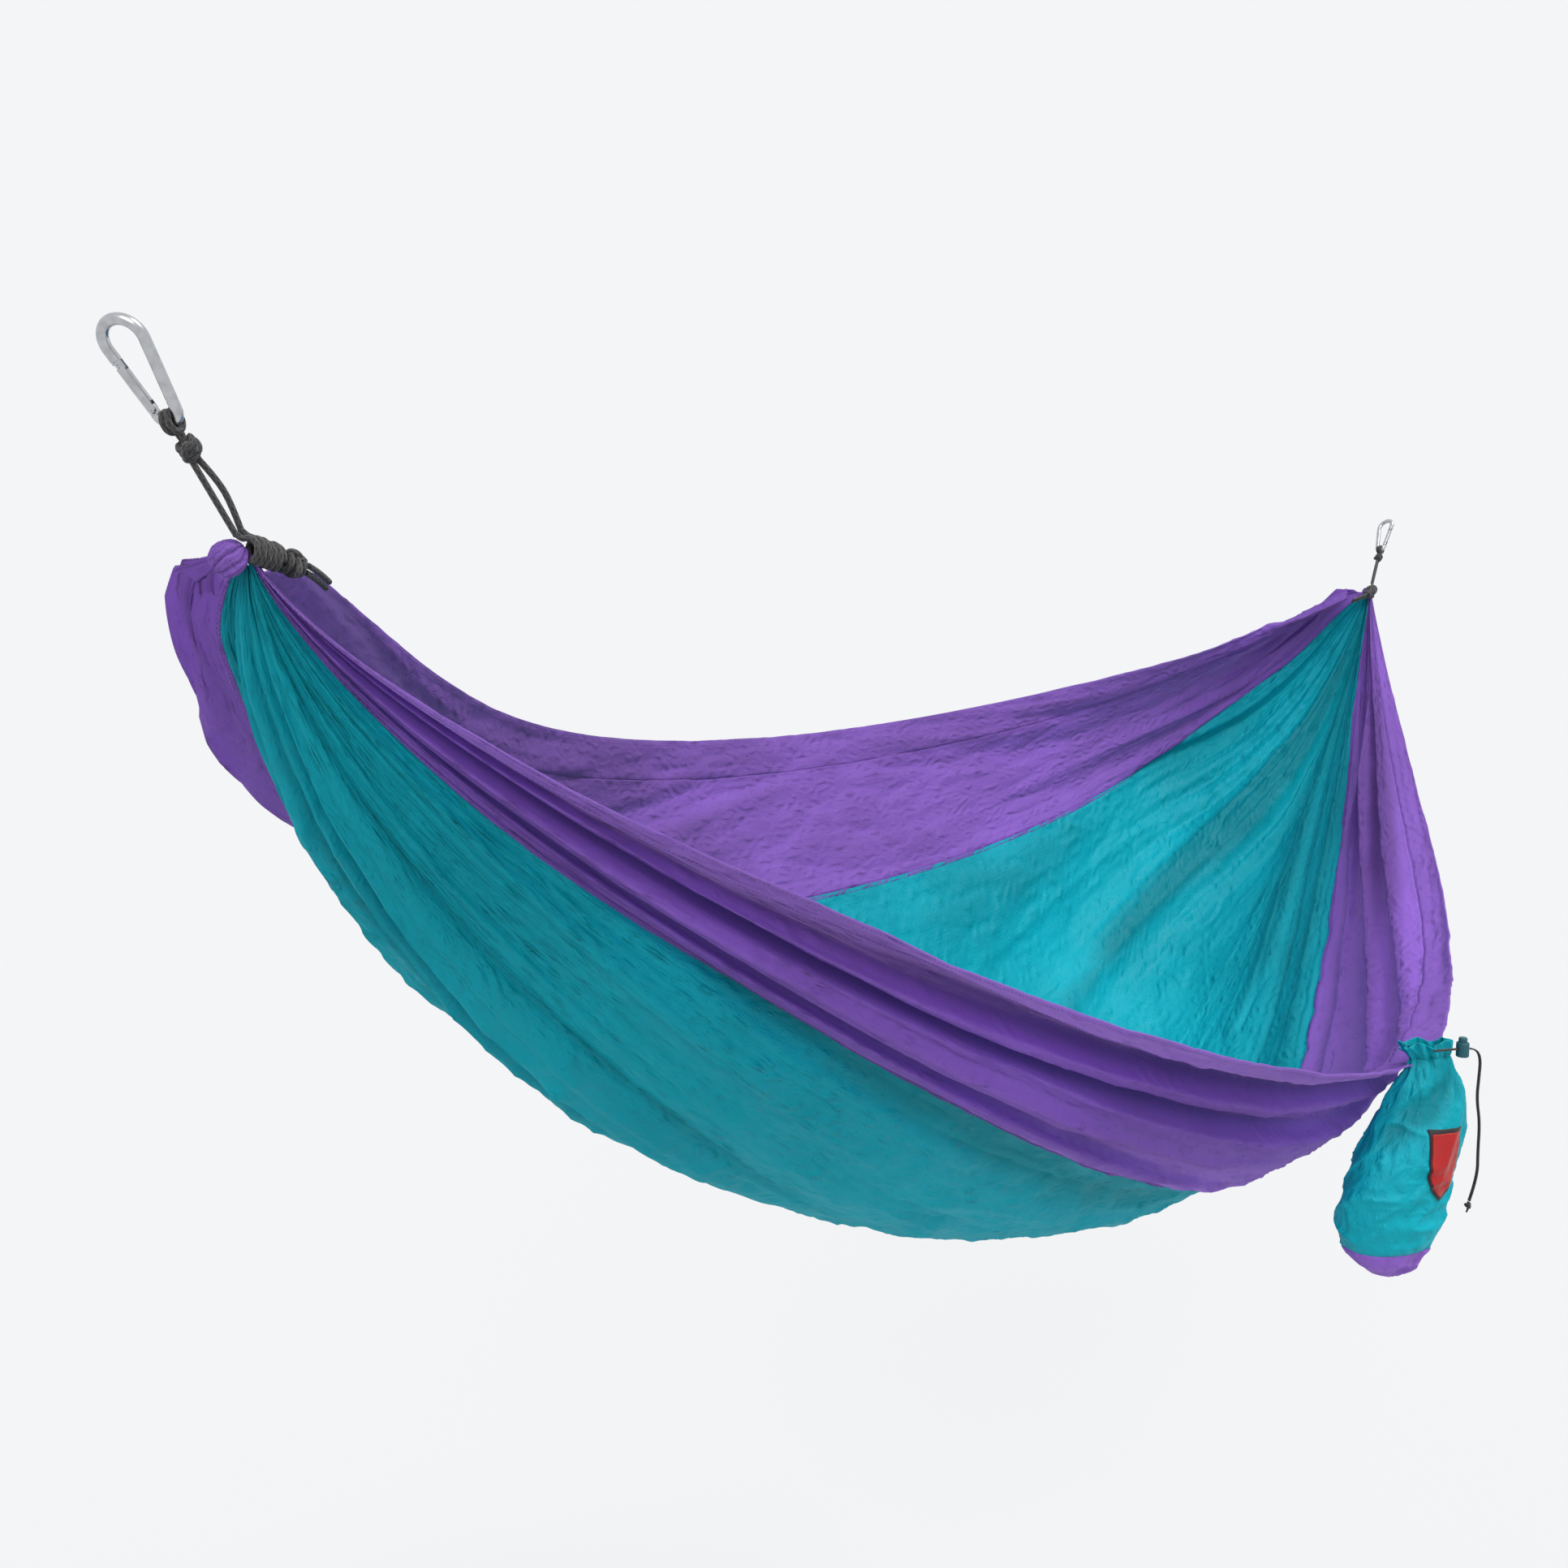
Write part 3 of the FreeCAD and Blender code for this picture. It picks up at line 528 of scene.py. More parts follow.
# each guide line's reach and drop at mid length, its side and drop powers, and its lag
GUIDES = (
    (-0.450, 0.588, 0.95, 0.72, -0.28),
    (-0.255, 0.788, 1.03, 0.75, -0.30),
    (0.060, 0.903, 0.85, 0.66, -0.15),
    (0.385, 0.475, 0.50, 0.60, 0.33),
    (0.500, 0.242, 1.28, 1.05, 0.22),
)
FIRST_STATION = 0.0004
FAR_CORNER_STATION = 0.036
NEAR_HEM = 0.12
FAR_HEM = 3.78
CLOTH_DEPTH = 0.0015


def bed_base(along, across):
    """The bed's smooth outer face: across is 0 at the near hem and 4 at the far hem."""
    swell = np.sin(np.pi * along)
    line = []
    for reach, drop, side_power, drop_power, lag in GUIDES:
        even = along - lag * np.sin(2 * np.pi * along) / (2 * np.pi)
        line.append(np.stack([NEAR_GATHER[0] + (FAR_GATHER_X - NEAR_GATHER[0]) * even,
                              reach * swell**side_power,
                              NEAR_GATHER[2] - drop * swell**drop_power], -1))
    gaps = [np.linalg.norm(b - a, axis=-1)[..., None] for a, b in zip(line, line[1:])]
    slopes = [(b - a) / gap for a, b, gap in zip(line, line[1:], gaps)]
    tangents = [None]
    for left in range(3):
        total = gaps[left] + gaps[left + 1]
        tangents.append((slopes[left] * gaps[left + 1] + slopes[left + 1] * gaps[left]) / total)
    tangents[0] = slopes[0] * 1.5 - tangents[1] * 0.5
    tangents.append(slopes[3] * 1.5 - tangents[3] * 0.5)
    span = np.clip(across.astype(int), 0, 3)
    points = np.zeros(along.shape + (3,))
    for place in range(4):
        t = (across - place)[..., None]
        here = (line[place] * (2 * t**3 - 3 * t**2 + 1) + tangents[place] * gaps[place] * (t**3 - 2 * t**2 + t)
                + line[place + 1] * (3 * t**2 - 2 * t**3) + tangents[place + 1] * gaps[place] * (t**3 - t**2))
        points = np.where((span == place)[..., None], here, points)
    return points


def bed_axes(along, across):
    """Outward normal and sideways direction of the bed, and its width for one unit across."""
    step = 0.002
    low, high = np.maximum(along - step, 0.0005), np.minimum(along + step, 0.9995)
    left, right = np.maximum(across - step, 0), np.minimum(across + step, 4)
    lengthways = bed_base(high, across) - bed_base(low, across)
    crossways = (bed_base(along, right) - bed_base(along, left)) / (right - left)[..., None]
    width = np.linalg.norm(crossways, axis=-1)
    normal = -np.cross(lengthways, crossways)
    normal /= np.linalg.norm(normal, axis=-1)[..., None]
    return normal, crossways / width[..., None], width


def ease(value, low, high):
    """0 below low, 1 above high, and smooth in between."""
    share = np.clip((value - low) / (high - low), 0, 1)
    return share * share * (3 - 2 * share)


def roll_profile(along, across):
    """The near panel's long rolls: how far each place across stands out, -1 to 1."""
    middle = np.exp(-((along - 0.5) / 0.17) ** 2)
    first = 0.30 - 0.10 * middle + 0.02 * np.sin(11 * along)
    second = 0.54 - 0.08 * middle + 0.02 * np.sin(8 * along + 1)
    steps = ((-0.2, 0.5), (0.0, 0.9), (first - 0.04, -0.8), (first + 0.02, 0.4), (second - 0.07, -1.0),
             (second, 1.0), (second + 0.14, 0.7), (0.80, 0.1 - 0.6 * (1 - middle)),
             (0.90, 0.1 + 0.4 * (1 - middle)), (1.0, -0.2), (1.35, 0.2), (2.0, 0.0))
    total = np.zeros_like(across)
    for (start, low), (end, high) in zip(steps, steps[1:]):
        inside = (across >= start) & (across < end)
        total = np.where(inside, low + (high - low) * ease(across, start, end), total)
    return total


def bump_at(value, centre, width):
    return np.exp(-((value - centre) / width) ** 2)


def bed_relief(along, across, width):
    """How far the cloth's folds stand out from the smooth bed, and how far they lean sideways."""
    size = np.clip(width / 0.28, 0, 1.2)
    nearness = np.minimum(along, 1 - along)
    # rolls of spare cloth along the near panel
    rolls = roll_profile(along, across) * size**0.6
    swell = (1 + 0.25 * smooth_noise(along * 7, across * 2, 17)) * (1 - 0.35 * bump_at(along, 0.5, 0.17))
    lift = 0.028 * rolls * swell
    lean = 0.016 * np.maximum(rolls, 0) * swell
    # gathers that fan out from both ends, each to its own length
    bend = 0.25 * smooth_noise(along * 4, across * 1.3, 5)
    for count, amount, reach, seed in ((2.3, 0.0130, 0.28, 41), (4.1, 0.0130, 0.24, 42),
                                       (7.3, 0.0085, 0.19, 43), (12.7, 0.0045, 0.12, 44)):
        wave = smooth_noise((across + bend) * count * 1.7 + seed, along * 2.2 + seed, seed)
        fold = np.sign(wave) * (1 - np.abs(1 - np.abs(wave) * 2.2).clip(0, 1)) ** 0.8
        own = reach * (1 + 0.6 * smooth_noise(across * count + 3, 0 * along + seed, seed + 7))
        lift = lift + amount * (fold + 0.5 * wave) * size * np.exp(-(nearness / own) ** 2)
    # sharp creases between the gathers
    for count, amount, reach, seed in ((3.4, 0.0060, 0.34, 51), (6.8, 0.0045, 0.27, 52), (11.5, 0.0028, 0.18, 53)):
        line = smooth_noise((across + bend * 0.8) * count * 1.4 + seed, along * 1.6 + seed, seed)
        own = reach * (1 + 0.5 * smooth_noise(across * count + 9, 0 * along + seed, seed + 7))
        lift = lift - amount * (1 - np.abs(line)) ** 7 * size * np.exp(-(nearness / own) ** 4)
    # long slack waves over the belly, and crumple lines all over
    slack = smooth_noise(across * 2.3 + 4, along * 3.0 + across * 0.8, 61)
    lift = lift + 0.010 * slack * size
    flat_x, flat_y = along * 3.1, across * 0.34
    for scale_x, scale_y, amount, seed in ((4, 11, 0.0042, 69), (9, 22, 0.0038, 71), (26, 50, 0.0024, 81)):
        lift = lift + amount * (crumple(flat_x * scale_x, flat_y * scale_y, seed) - 0.3) * np.minimum(size, 1)
    return lift, lean


# how the far side hangs at each end, in metres, by distance along the bed from that end
END_PLACES = (0.0, 0.002, 0.006, 0.010, 0.020, 0.030, 0.050, 0.080, 0.120, 0.200)
POUCH_OUT = (0.000, 0.014, 0.027, 0.031, 0.030, 0.029, 0.031, 0.031, 0.020, 0.000)
POUCH_RISE = (0.000, 0.010, 0.020, 0.012, 0.001, -0.003, -0.008, -0.010, -0.006, 0.000)
SEAM_BACK = (0.000, 0.000, 0.000, 0.001, 0.010, 0.015, 0.018, 0.011, 0.000, 0.000)
CORNER_RISE = (0.000, 0.001, 0.003, 0.005, 0.009, 0.012, 0.0125, 0.008, 0.004, 0.000)


def end_shape(along, across):
    """Shift of the far side at both ends: a slack pouch by the seam and a raised channel corner."""
    nearness = np.minimum(along, 1 - along)
    out, rise, back, corner = (np.interp(nearness, END_PLACES, column)
                               for column in (POUCH_OUT, POUCH_RISE, SEAM_BACK, CORNER_RISE))
    pouch = ease(across, 2.98, 3.20) * (1 - ease(across, 3.40, 3.95))
    pouch = pouch * (1 + 0.16 * np.sin(across * 37 + 50 * nearness) + 0.10 * np.sin(across * 61 - 70 * nearness))
    seam = bump_at(across, 3.0, 0.30)
    sign = np.where(along < 0.5, 1.0, -1.0)
    shift = -(out * pouch) + back * seam
    upward = rise * pouch + corner * ease(across, 3.3, 3.85)
    return np.stack([0.605 * sign * shift, -0.796 * shift, upward], -1)


def bed_surface(along, across):
    """Points of the folded cloth, and how deep in a fold each one lies."""
    points = bed_base(along, across)
    normal, sideways, width = bed_axes(along, across)
    lift, lean = bed_relief(along, across, width)
    points = points + normal * (lift - CLOTH_DEPTH)[..., None] - sideways * lean[..., None]
    # the fold depth becomes painted shade: the cloth paint darkens the colour where it is high
    depth = np.clip(-lift / 0.014, 0, 1)
    return points + end_shape(along, across), depth


def station(even, across):
    """Place along the bed, closer together towards the gathers."""
    slant = np.maximum(across - 3, 0) ** 4
    first = FIRST_STATION + (FAR_CORNER_STATION - FIRST_STATION) * slant
    eased = even - 0.8 * np.sin(2 * np.pi * even) / (2 * np.pi)
    return first + (1 - 2 * first) * eased


ROWS = 420


def bed_grid(start, end, columns, rows=ROWS):
    even = np.linspace(0, 1, rows)[:, None]
    across = np.linspace(start, end, columns)[None]
    even, across = np.broadcast_arrays(even, across)
    across = across.astype(float)
    return station(even, across), across


def bed_panel(name, start, end, columns, paint, thickness, inward=0.0):
    along, across = bed_grid(start, end, columns)
    points, depth = bed_surface(along, across)
    if inward:
        normal, _, _ = bed_axes(along, across)
        points = points - normal * inward
    flat = np.stack([along * 3.2, across * 0.36], -1)
    piece = grid_mesh(name, points, paint, flat, depth)
    thicken(piece, thickness)
    return piece


def bed_line(across, offset, rows=ROWS, start=0.004):
    """Points along the bed at one place across, lifted off its outer face."""
    even = np.linspace(start, 1 - start, rows)[:, None]
    place = np.full_like(even, across)
    along = station(even, place)
    points, _ = bed_surface(along, place)
    normal, sideways, _ = bed_axes(along, place)
    return (points + normal * offset)[:, 0], normal[:, 0], sideways[:, 0]


def stitch_row(across, offset, length=0.0032, pitch=0.0050, thick=0.00045):
    """Vertices and faces of one row of small stitches."""
    line, normal, _ = bed_line(across, offset, 1600)
    reach = np.concatenate([[0], np.cumsum(np.linalg.norm(np.diff(line, axis=0), axis=1))])
    count = int(reach[-1] / pitch)
    verts, faces = [], []
    for index in range(1, count):
        ends = []
        for place in (index * pitch - length / 2, index * pitch, index * pitch + length / 2):
            ends.append(np.array([np.interp(place, reach, line[:, axis]) for axis in range(3)]))
        up = np.array([np.interp(index * pitch, reach, normal[:, axis]) for axis in range(3)])
        forward = (ends[2] - ends[0]) / length
        side = np.cross(forward, up) * thick
        base = len(verts)
        crest = ends[1] + up * thick
        verts += [ends[0], crest + side * 0.9, crest + up * thick * 0.6, crest - side * 0.9, ends[1] - up * thick, ends[2]]
        for a, b in ((1, 2), (2, 3), (3, 4), (4, 1)):
            faces += [(base, base + a, base + b), (base + 5, base + b, base + a)]
    return verts, faces


def stitches(name, rows, body, paint):
    verts, faces = [], []
    for across, offset in rows:
        more, sides = stitch_row(across, offset)
        faces += [tuple(index + len(verts) for index in side) for side in sides]
        verts += more
    mesh = bpy.data.meshes.new(name)
    mesh.from_pydata([tuple(v) for v in verts], [], faces)
    piece = new_object(name, mesh, paint)
    return place_piece(piece, body)


def seam_band(name, across, half_width, paint):
    """Flat-felled seam: a narrow raised band of doubled cloth along the join."""
    along, place = bed_grid(across - half_width, across + half_width, 5)
    points, depth = bed_surface(along, place)
    normal, _, _ = bed_axes(along, place)
    # half the fold depth goes to the cloth paint as painted shade in the seam's valleys
    piece = grid_mesh(name, points + normal * 0.0007, paint, np.stack([along * 3.2, place * 0.36], -1), depth * 0.5)
    return thicken(piece, 0.0022)


def make_bed():
    for name, start, end, columns, paint, thickness in (
        ("near_hem", 0.0, NEAR_HEM, 12, "hem_cloth", 0.0020),
        ("near_side_panel", NEAR_HEM, 1.0, 84, "purple_cloth", 0.0008),
        ("center_panel", 1.0, 3.0, 190, "teal_cloth", 0.0008),
        ("far_side_panel", 3.0, FAR_HEM, 52, "purple_cloth", 0.0008),
        ("far_hem", FAR_HEM, 4.0, 16, "hem_cloth", 0.0020),
    ):
        piece = bed_panel(f"{name}_cloth", start, end, columns, paint, thickness)
        place_piece(piece, "bed", [name])
    seams = []
    for name, across in (("near_seam", 1.0), ("far_seam", 3.0)):
        seams.append(place_piece(seam_band(name, across, 0.012, "hem_cloth"), "bed"))
    rows = [(0.988, 0.0016), (1.012, 0.0016), (2.988, 0.0016), (3.012, 0.0016), (2.988, -0.0010), (3.012, -0.0010),
            (NEAR_HEM - 0.01, 0.0013), (FAR_HEM + 0.015, 0.0013), (FAR_HEM + 0.015, -0.0013),
            (0.02, 0.0013), (3.97, 0.0013), (3.97, -0.0013)]
    thread = stitches("bed_stitching", rows, "bed", PURPLE_THREAD)
    return thread


# ---------------------------------------------------------------- ropes and knots

class End:
    """One end of the hammock, with its points mirrored for the far end."""

    def __init__(self, name):
        self.name = name
        self.far = name == "far"

    def points(self, rows):
        rows = np.array(rows, float).reshape(-1, 3)
        if self.far:
            rows = rows * [-1, 1, 1] + [SPAN, 0, 0]
        return rows

    def along_rope(self, distance, side=0.0, rise=0.0):
        return DOWN_ROPE * distance + [math.sin(HANG) * rise, side, math.cos(HANG) * rise]


def axes_about(direction):
    forward = np.array(direction, float)
    forward /= np.linalg.norm(forward)
    side = np.cross(forward, [0, 1, 0])
    side /= np.linalg.norm(side)
    return forward, side, np.cross(forward, side)


def coil_points(centre, direction, radius, length, turns, seed, tilt=0.12, closing=0.0):
    """A coil about an axis, its turns a little uneven."""
    forward, side, other = axes_about(direction)
    angle = np.linspace(0, 2 * np.pi * turns, int(26 * turns))
    draw = np.random.default_rng(seed)
    phase = draw.uniform(0, 6, 3)
    swell = 1 + 0.05 * np.sin(angle * 0.37 + phase[0]) + 0.03 * np.sin(angle * 1.3 + phase[1])
    swell = swell - closing * (np.abs(np.linspace(-1, 1, len(angle))) ** 4)
    place = length * (angle / angle[-1] - 0.5) + radius * tilt * np.sin(angle + phase[2])
    return (np.array(centre) + forward * place[:, None] + side * (np.cos(angle) * radius * swell)[:, None]
            + other * (np.sin(angle) * radius * swell)[:, None])


def knot_points(centre, direction, size, count=3, flat=1.0, phase=0.0):
    """A closed rope path that passes over and under itself, as in a pulled-up knot."""
    forward, side, other = axes_about(direction)
    angle = np.linspace(0, 2 * np.pi, 130, endpoint=False)
    x = np.sin(angle + phase) + 2 * np.sin(2 * angle + phase)
    y = np.cos(angle + phase) - 2 * np.cos(2 * angle + phase)
    z = -np.sin(3 * angle) * flat
    return (np.array(centre) + (side * x[:, None] + other * y[:, None] + forward * z[:, None]) * size / 3)


def make_ropes(end):
    name = end.name
    rope = ROPE_RADIUS
    step = 0.0011
    near = end.points
    low = np.array([0.037035, 0, -0.05703])
    across = np.array([0.31417, -0.92718, 0.20403])
    ring_up = -DOWN_ROPE
    ring_side = np.cross(across, ring_up)
    angle = np.linspace(0, 2 * np.pi, 60, endpoint=False)
    ring_radius = 0.004 + rope + 0.0006
    ring = low + ring_up * (np.cos(angle) * ring_radius)[:, None] + ring_side * (np.sin(angle) * ring_radius)[:, None]
    loops = [ring + across * shift for shift in (-rope * 1.02, rope * 1.02)]
    eye = [tube(f"{name}_eye_turn_{k}", near(loop), rope, "rope", closed=True) for k, loop in enumerate(loops)]
    place_piece(join(f"{name}_rope_eye_turns", eye), "bed", [f"{name}_rope_eye"])

    knot_at = end.along_rope(0.088)
    knot = [
        tube("eye_knot_a", near(knot_points(knot_at, DOWN_ROPE, 0.0068, flat=1.6)), rope, "rope", closed=True),
        tube("eye_knot_b", near(coil_points(knot_at, DOWN_ROPE + [0.2, 0.3, 0.1], 0.0052, 0.011, 2.6, 3)), rope, "rope"),
    ]
    for shift in (-1, 1):
        leg = [end.along_rope(0.0715, 0.002 * shift, 0), end.along_rope(0.080, 0.0028 * shift, 0),
               end.along_rope(0.088, 0.0, 0.0026 * shift), end.along_rope(0.0995, 0, 0.00255 * shift)]
        knot.append(tube("eye_knot_leg", near(nurbs_line(leg, step)), rope, "rope"))
    knot = place_piece(join(f"{name}_eye_knot_rope", knot), "bed", [f"{name}_eye_knot"])

    half = 0.00255
    routes = {
        "rope_straight": [(0.098, 0, -half), (0.126, 0, -half), (0.154, 0, -half)],
        "rope_bowed": [(0.098, 0, half), (0.116, -0.001, half + 0.004), (0.135, -0.001, half + 0.0034), (0.154, 0, half)],
    }
    for node, route in routes.items():
        line = near(nurbs_line([end.along_rope(*place) for place in route], step))
        piece = tube(f"{name}_{node}_cord", line, rope, "rope")
        place_piece(piece, "bed", [f"{name}_{node}"])

    axis = np.array([0.96, 0, -0.28])
    start = NEAR_GATHER + [-0.002, -0.004, 0.0005]
    middle = start + axis * 0.013
    coil = coil_points(middle, axis, 0.0082, 0.0235, 5.3, 7, tilt=0.2, closing=0.12)
    wraps = [tube("wraps_coil", near(coil), rope, "rope")]
    for shift in (-1, 1):
        leg = [end.along_rope(0.1515, 0, half * shift), end.along_rope(0.158, -0.002, half * shift + 0.001),
               start + [0.001 + 0.003 * shift, 0.001 * shift, 0.0075], start + [0.010 + 0.004 * shift, 0.001, 0.004]]
        wraps.append(tube("wraps_leg", near(nurbs_line(leg, step)), rope, "rope"))
    place_piece(join(f"{name}_wraps_rope", wraps), "bed", [f"{name}_rope_wraps"])

    past = start + axis * (0.026 + 0.0105)
    cinch = [
        tube("cinch_a", near(knot_points(past, axis + [0, 0.5, 0.35], 0.0092, flat=1.5, phase=0.5)), rope, "rope", closed=True),
        tube("cinch_b", near(knot_points(past + axis * 0.001, [0.1, 1, 0.3], 0.0080, flat=1.2)), rope, "rope", closed=True),
        tube("cinch_c", near(coil_points(past, axis, 0.0060, 0.014, 2.5, 12)), rope, "rope"),
    ]
    place_piece(join(f"{name}_cinch_knot_rope", cinch), "bed", [f"{name}_cinch_knot"])

    first = past + axis * 0.0124
    for node, shift in (("upper", 1.0), ("lower", -1.0)):
        lift = np.array([0.2, -0.45, 0.87]) * shift * (rope + 0.00035)
        route = [first + lift, first + [0.015, 0.007, -0.0045] + lift, first + [0.030, 0.017, -0.011] + lift]
        line = near(nurbs_line(route, step))
        piece = tube(f"{name}_channel_{node}_cord", line, rope, "rope")
        place_piece(piece, "bed", [f"{name}_channel_cord_{node}"])


def make_bunch(end):
    """The gathered end channel: cloth drawn up in deep folds that run into the gather."""
    centre = NEAR_GATHER + [-0.0118, 0.0076, -0.0078]
    pole, side, other = axes_about(NEAR_GATHER + [0.002, -0.002, 0.006] - centre)
    polar = np.linspace(0.02, np.pi - 0.02, 90)[:, None]
    turn = np.linspace(0, 2 * np.pi, 150, endpoint=False)[None]
    wander = 0.5 * smooth_noise(polar * 2 + turn * 0, np.sin(turn) * 2 + 5, 31)
    folds = 0.10 * np.cos(9 * turn + wander * 3) + 0.07 * np.cos(14 * turn + 2 + wander * 4)
    creases = 0.03 * crumple(polar * 6 + turn * 0, turn * 9 / np.pi, 33)
    radius = 0.0118 * (1 + (folds + creases) * np.sin(polar) ** 0.7)
    radius = radius * (1 + 0.25 * np.clip(np.cos(polar), 0, 1) ** 2)
    points = (centre + pole * (np.cos(polar) * radius)[..., None]
              + side * (np.sin(polar) * np.cos(turn) * radius)[..., None]
              + other * (np.sin(polar) * np.sin(turn) * radius)[..., None])
    flat = np.stack(np.broadcast_arrays(polar * 0.03, turn * 0.03), -1)
    shape = end.points(points).reshape(points.shape)
    # the valleys between the folds, which the cloth paint darkens as painted shade
    depth = np.clip(-folds * 5, 0, 1) * np.ones_like(radius)
    piece = grid_mesh(f"{end.name}_bunched_channel", shape, "channel_cloth", flat, depth, wrap=True)
    body = bmesh.new()
    body.from_mesh(piece.data)
    bmesh.ops.holes_fill(body, edges=[edge for edge in body.edges if edge.is_boundary], sides=0)
    bmesh.ops.recalc_face_normals(body, faces=body.faces)
    body.to_mesh(piece.data)
    body.free()
    piece.data.shade_smooth()
    place_piece(piece, "bed", [f"{end.name}_end_channel"])


# ---------------------------------------------------------------- snap hooks and cord lock

def paint_hardware():
    for name, node in NODES.items():
        slot = next(part["material_slot"] for part in frame["record"]["subparts"] if part["node"] == name)
        if slot in ("steel", "pin_steel", "spring_steel", "lock_plastic"):
            for index in range(len(node.data.materials)):
                node.data.materials[index] = MATERIALS[slot]


# ---------------------------------------------------------------- stuff sack

SACK_ACROSS = np.array([0.8, -0.6, 0])
SACK_FRONT = np.array([-0.6, -0.8, 0])
HEM_MIDDLE = np.array([1.4, -0.450, -0.72722])
# height from the hem, half width, half thickness and sideways shift of the sack's sections
SACK_SECTIONS = np.array([
    (0.020, 0.034, 0.013, 0.000),
    (0.000, 0.030, 0.013, 0.008),
    (-0.033, 0.042, 0.024, 0.008),
    (-0.060, 0.050, 0.032, 0.002),
    (-0.102, 0.064, 0.040, -0.015),
    (-0.145, 0.069, 0.043, -0.030),
    (-0.190, 0.069, 0.042, -0.038),
    (-0.232, 0.058, 0.036, -0.040),
    (-0.262, 0.032, 0.020, -0.034),
])
BASE_SEAM = -0.232
CHANNEL_SEAM = 0.002


def sack_point(across, front, height):
    base = HEM_MIDDLE + SACK_FRONT * 0.034
    across, front, height = (np.asarray(value, float)[..., None] for value in (across, front, height))
    return base + SACK_ACROSS * across + SACK_FRONT * front + np.array([0, 0, 1]) * height


def sack_profile(height):
    """Half width, half thickness and shift at a height, on a smooth line through the sections."""
    levels = SACK_SECTIONS[::-1, 0]
    result = []
    for column in (1, 2, 3):
        values = SACK_SECTIONS[::-1, column]
        slopes = np.gradient(values, levels)
        place = np.clip(np.searchsorted(levels, height) - 1, 0, len(levels) - 2)
        gap = levels[place + 1] - levels[place]
        t = np.clip((height - levels[place]) / gap, 0, 1)
        result.append(values[place] * (2 * t**3 - 3 * t**2 + 1) + slopes[place] * gap * (t**3 - 2 * t**2 + t)
                      + values[place + 1] * (3 * t**2 - 2 * t**3) + slopes[place + 1] * gap * (t**3 - t**2))
    return result


def sack_surface(height, turn):
    """Points of the sack's cloth: gathered at the neck, slack and creased below."""
    half_width, half_depth, shift = sack_profile(height)
    neck = np.exp(-np.clip(CHANNEL_SEAM - height, 0, 1) / 0.045)
    frill = np.clip((height - CHANNEL_SEAM) / 0.018, 0, 1)
    gathers = (np.cos(9 * turn + 0.4 * np.sin(2 * turn)) + 0.6 * np.cos(15 * turn + 1.3)) * 0.0018 * neck
    gathers = gathers + 0.0035 * frill * (np.cos(7 * turn + 0.6) + 0.5 * np.cos(12 * turn))
    sweep = turn * 3 / np.pi
    soft = 0.0055 * smooth_noise(sweep * 0.9 + height * 14, height * 22 + sweep * 0.6, 91)
    creases = 0.0045 * (crumple(sweep * 1.3 + height * 20, height * 26 - sweep * 0.7, 93) - 0.3)
    fine = 0.0012 * (crumple(sweep * 3.7, height * 75 + sweep, 95) - 0.3)
    slack = np.clip(-height / 0.03, 0, 1)
    pinch = -0.0025 * np.exp(-((height - CHANNEL_SEAM) / 0.004) ** 2) - 0.0015 * np.exp(-((height - BASE_SEAM) / 0.0025) ** 2)
    out = gathers + (soft + creases + fine) * slack + pinch - 0.0006
    across = shift + (half_width + out) * np.cos(turn)
    front = (half_depth + out) * np.sin(turn)
    rise = height + frill * 0.0035 * np.cos(5 * turn + 2)
    # the second value, high in the cloth's hollows, is painted shade: the cloth paint darkens the colour there
    return sack_point(across, front, rise), np.clip(-out / 0.006, 0, 1)


def sack_piece(name, low, high, rows, paint, node, thickness=0.0009):
    height = np.linspace(high, low, rows)[:, None]
    turn = np.linspace(0, 2 * np.pi, 200, endpoint=False)[None]
    height, turn = np.broadcast_arrays(height, turn)
    points, depth = sack_surface(height, turn)
    flat = np.stack([height, turn * 0.055], -1)
    piece = grid_mesh(name, points, paint, flat, depth, wrap=True)
    if low <= SACK_SECTIONS[-1, 0]:
        shape = bmesh.new()
        shape.from_mesh(piece.data)
        rim = [edge for edge in shape.edges if edge.is_boundary and edge.verts[0].co.z < HEM_MIDDLE[2] - 0.25]
        for share, sink in ((0.8, 0.0045), (0.72, 0.0030), (0.55, 0.0018), (0.3, 0.0006)):
            made = bmesh.ops.extrude_edge_only(shape, edges=rim)["geom"]
            ring = [item for item in made if isinstance(item, bmesh.types.BMVert)]
            middle = sum((vertex.co for vertex in ring), Vector()) / len(ring)
            for vertex in ring:
                vertex.co = middle + (vertex.co - middle) * share
                vertex.co.z -= sink
            rim = [item for item in made if isinstance(item, bmesh.types.BMEdge)]
        bmesh.ops.holes_fill(shape, edges=rim, sides=0)
        shape.to_mesh(piece.data)
        shape.free()
        piece.data.shade_smooth()
    thicken(piece, thickness)
    place_piece(piece, "stuff_sack", [node])
    return piece


SHIELD_ROUND = 1.8


def shield(width, height, count=40):
    """Outline of a shield, flat on top with a point below, as (across, level) from its middle."""
    half = width / 2
    top, shoulder, foot = height / 2, -height * 0.1, height / 2 - height
    side = [(half, top), (half, (top + shoulder) / 2), (half, shoulder)]
    for t in np.linspace(0, 1, count)[1:]:
        side.append((half * (1 - t**SHIELD_ROUND), shoulder + (foot - shoulder) * t))
    return side


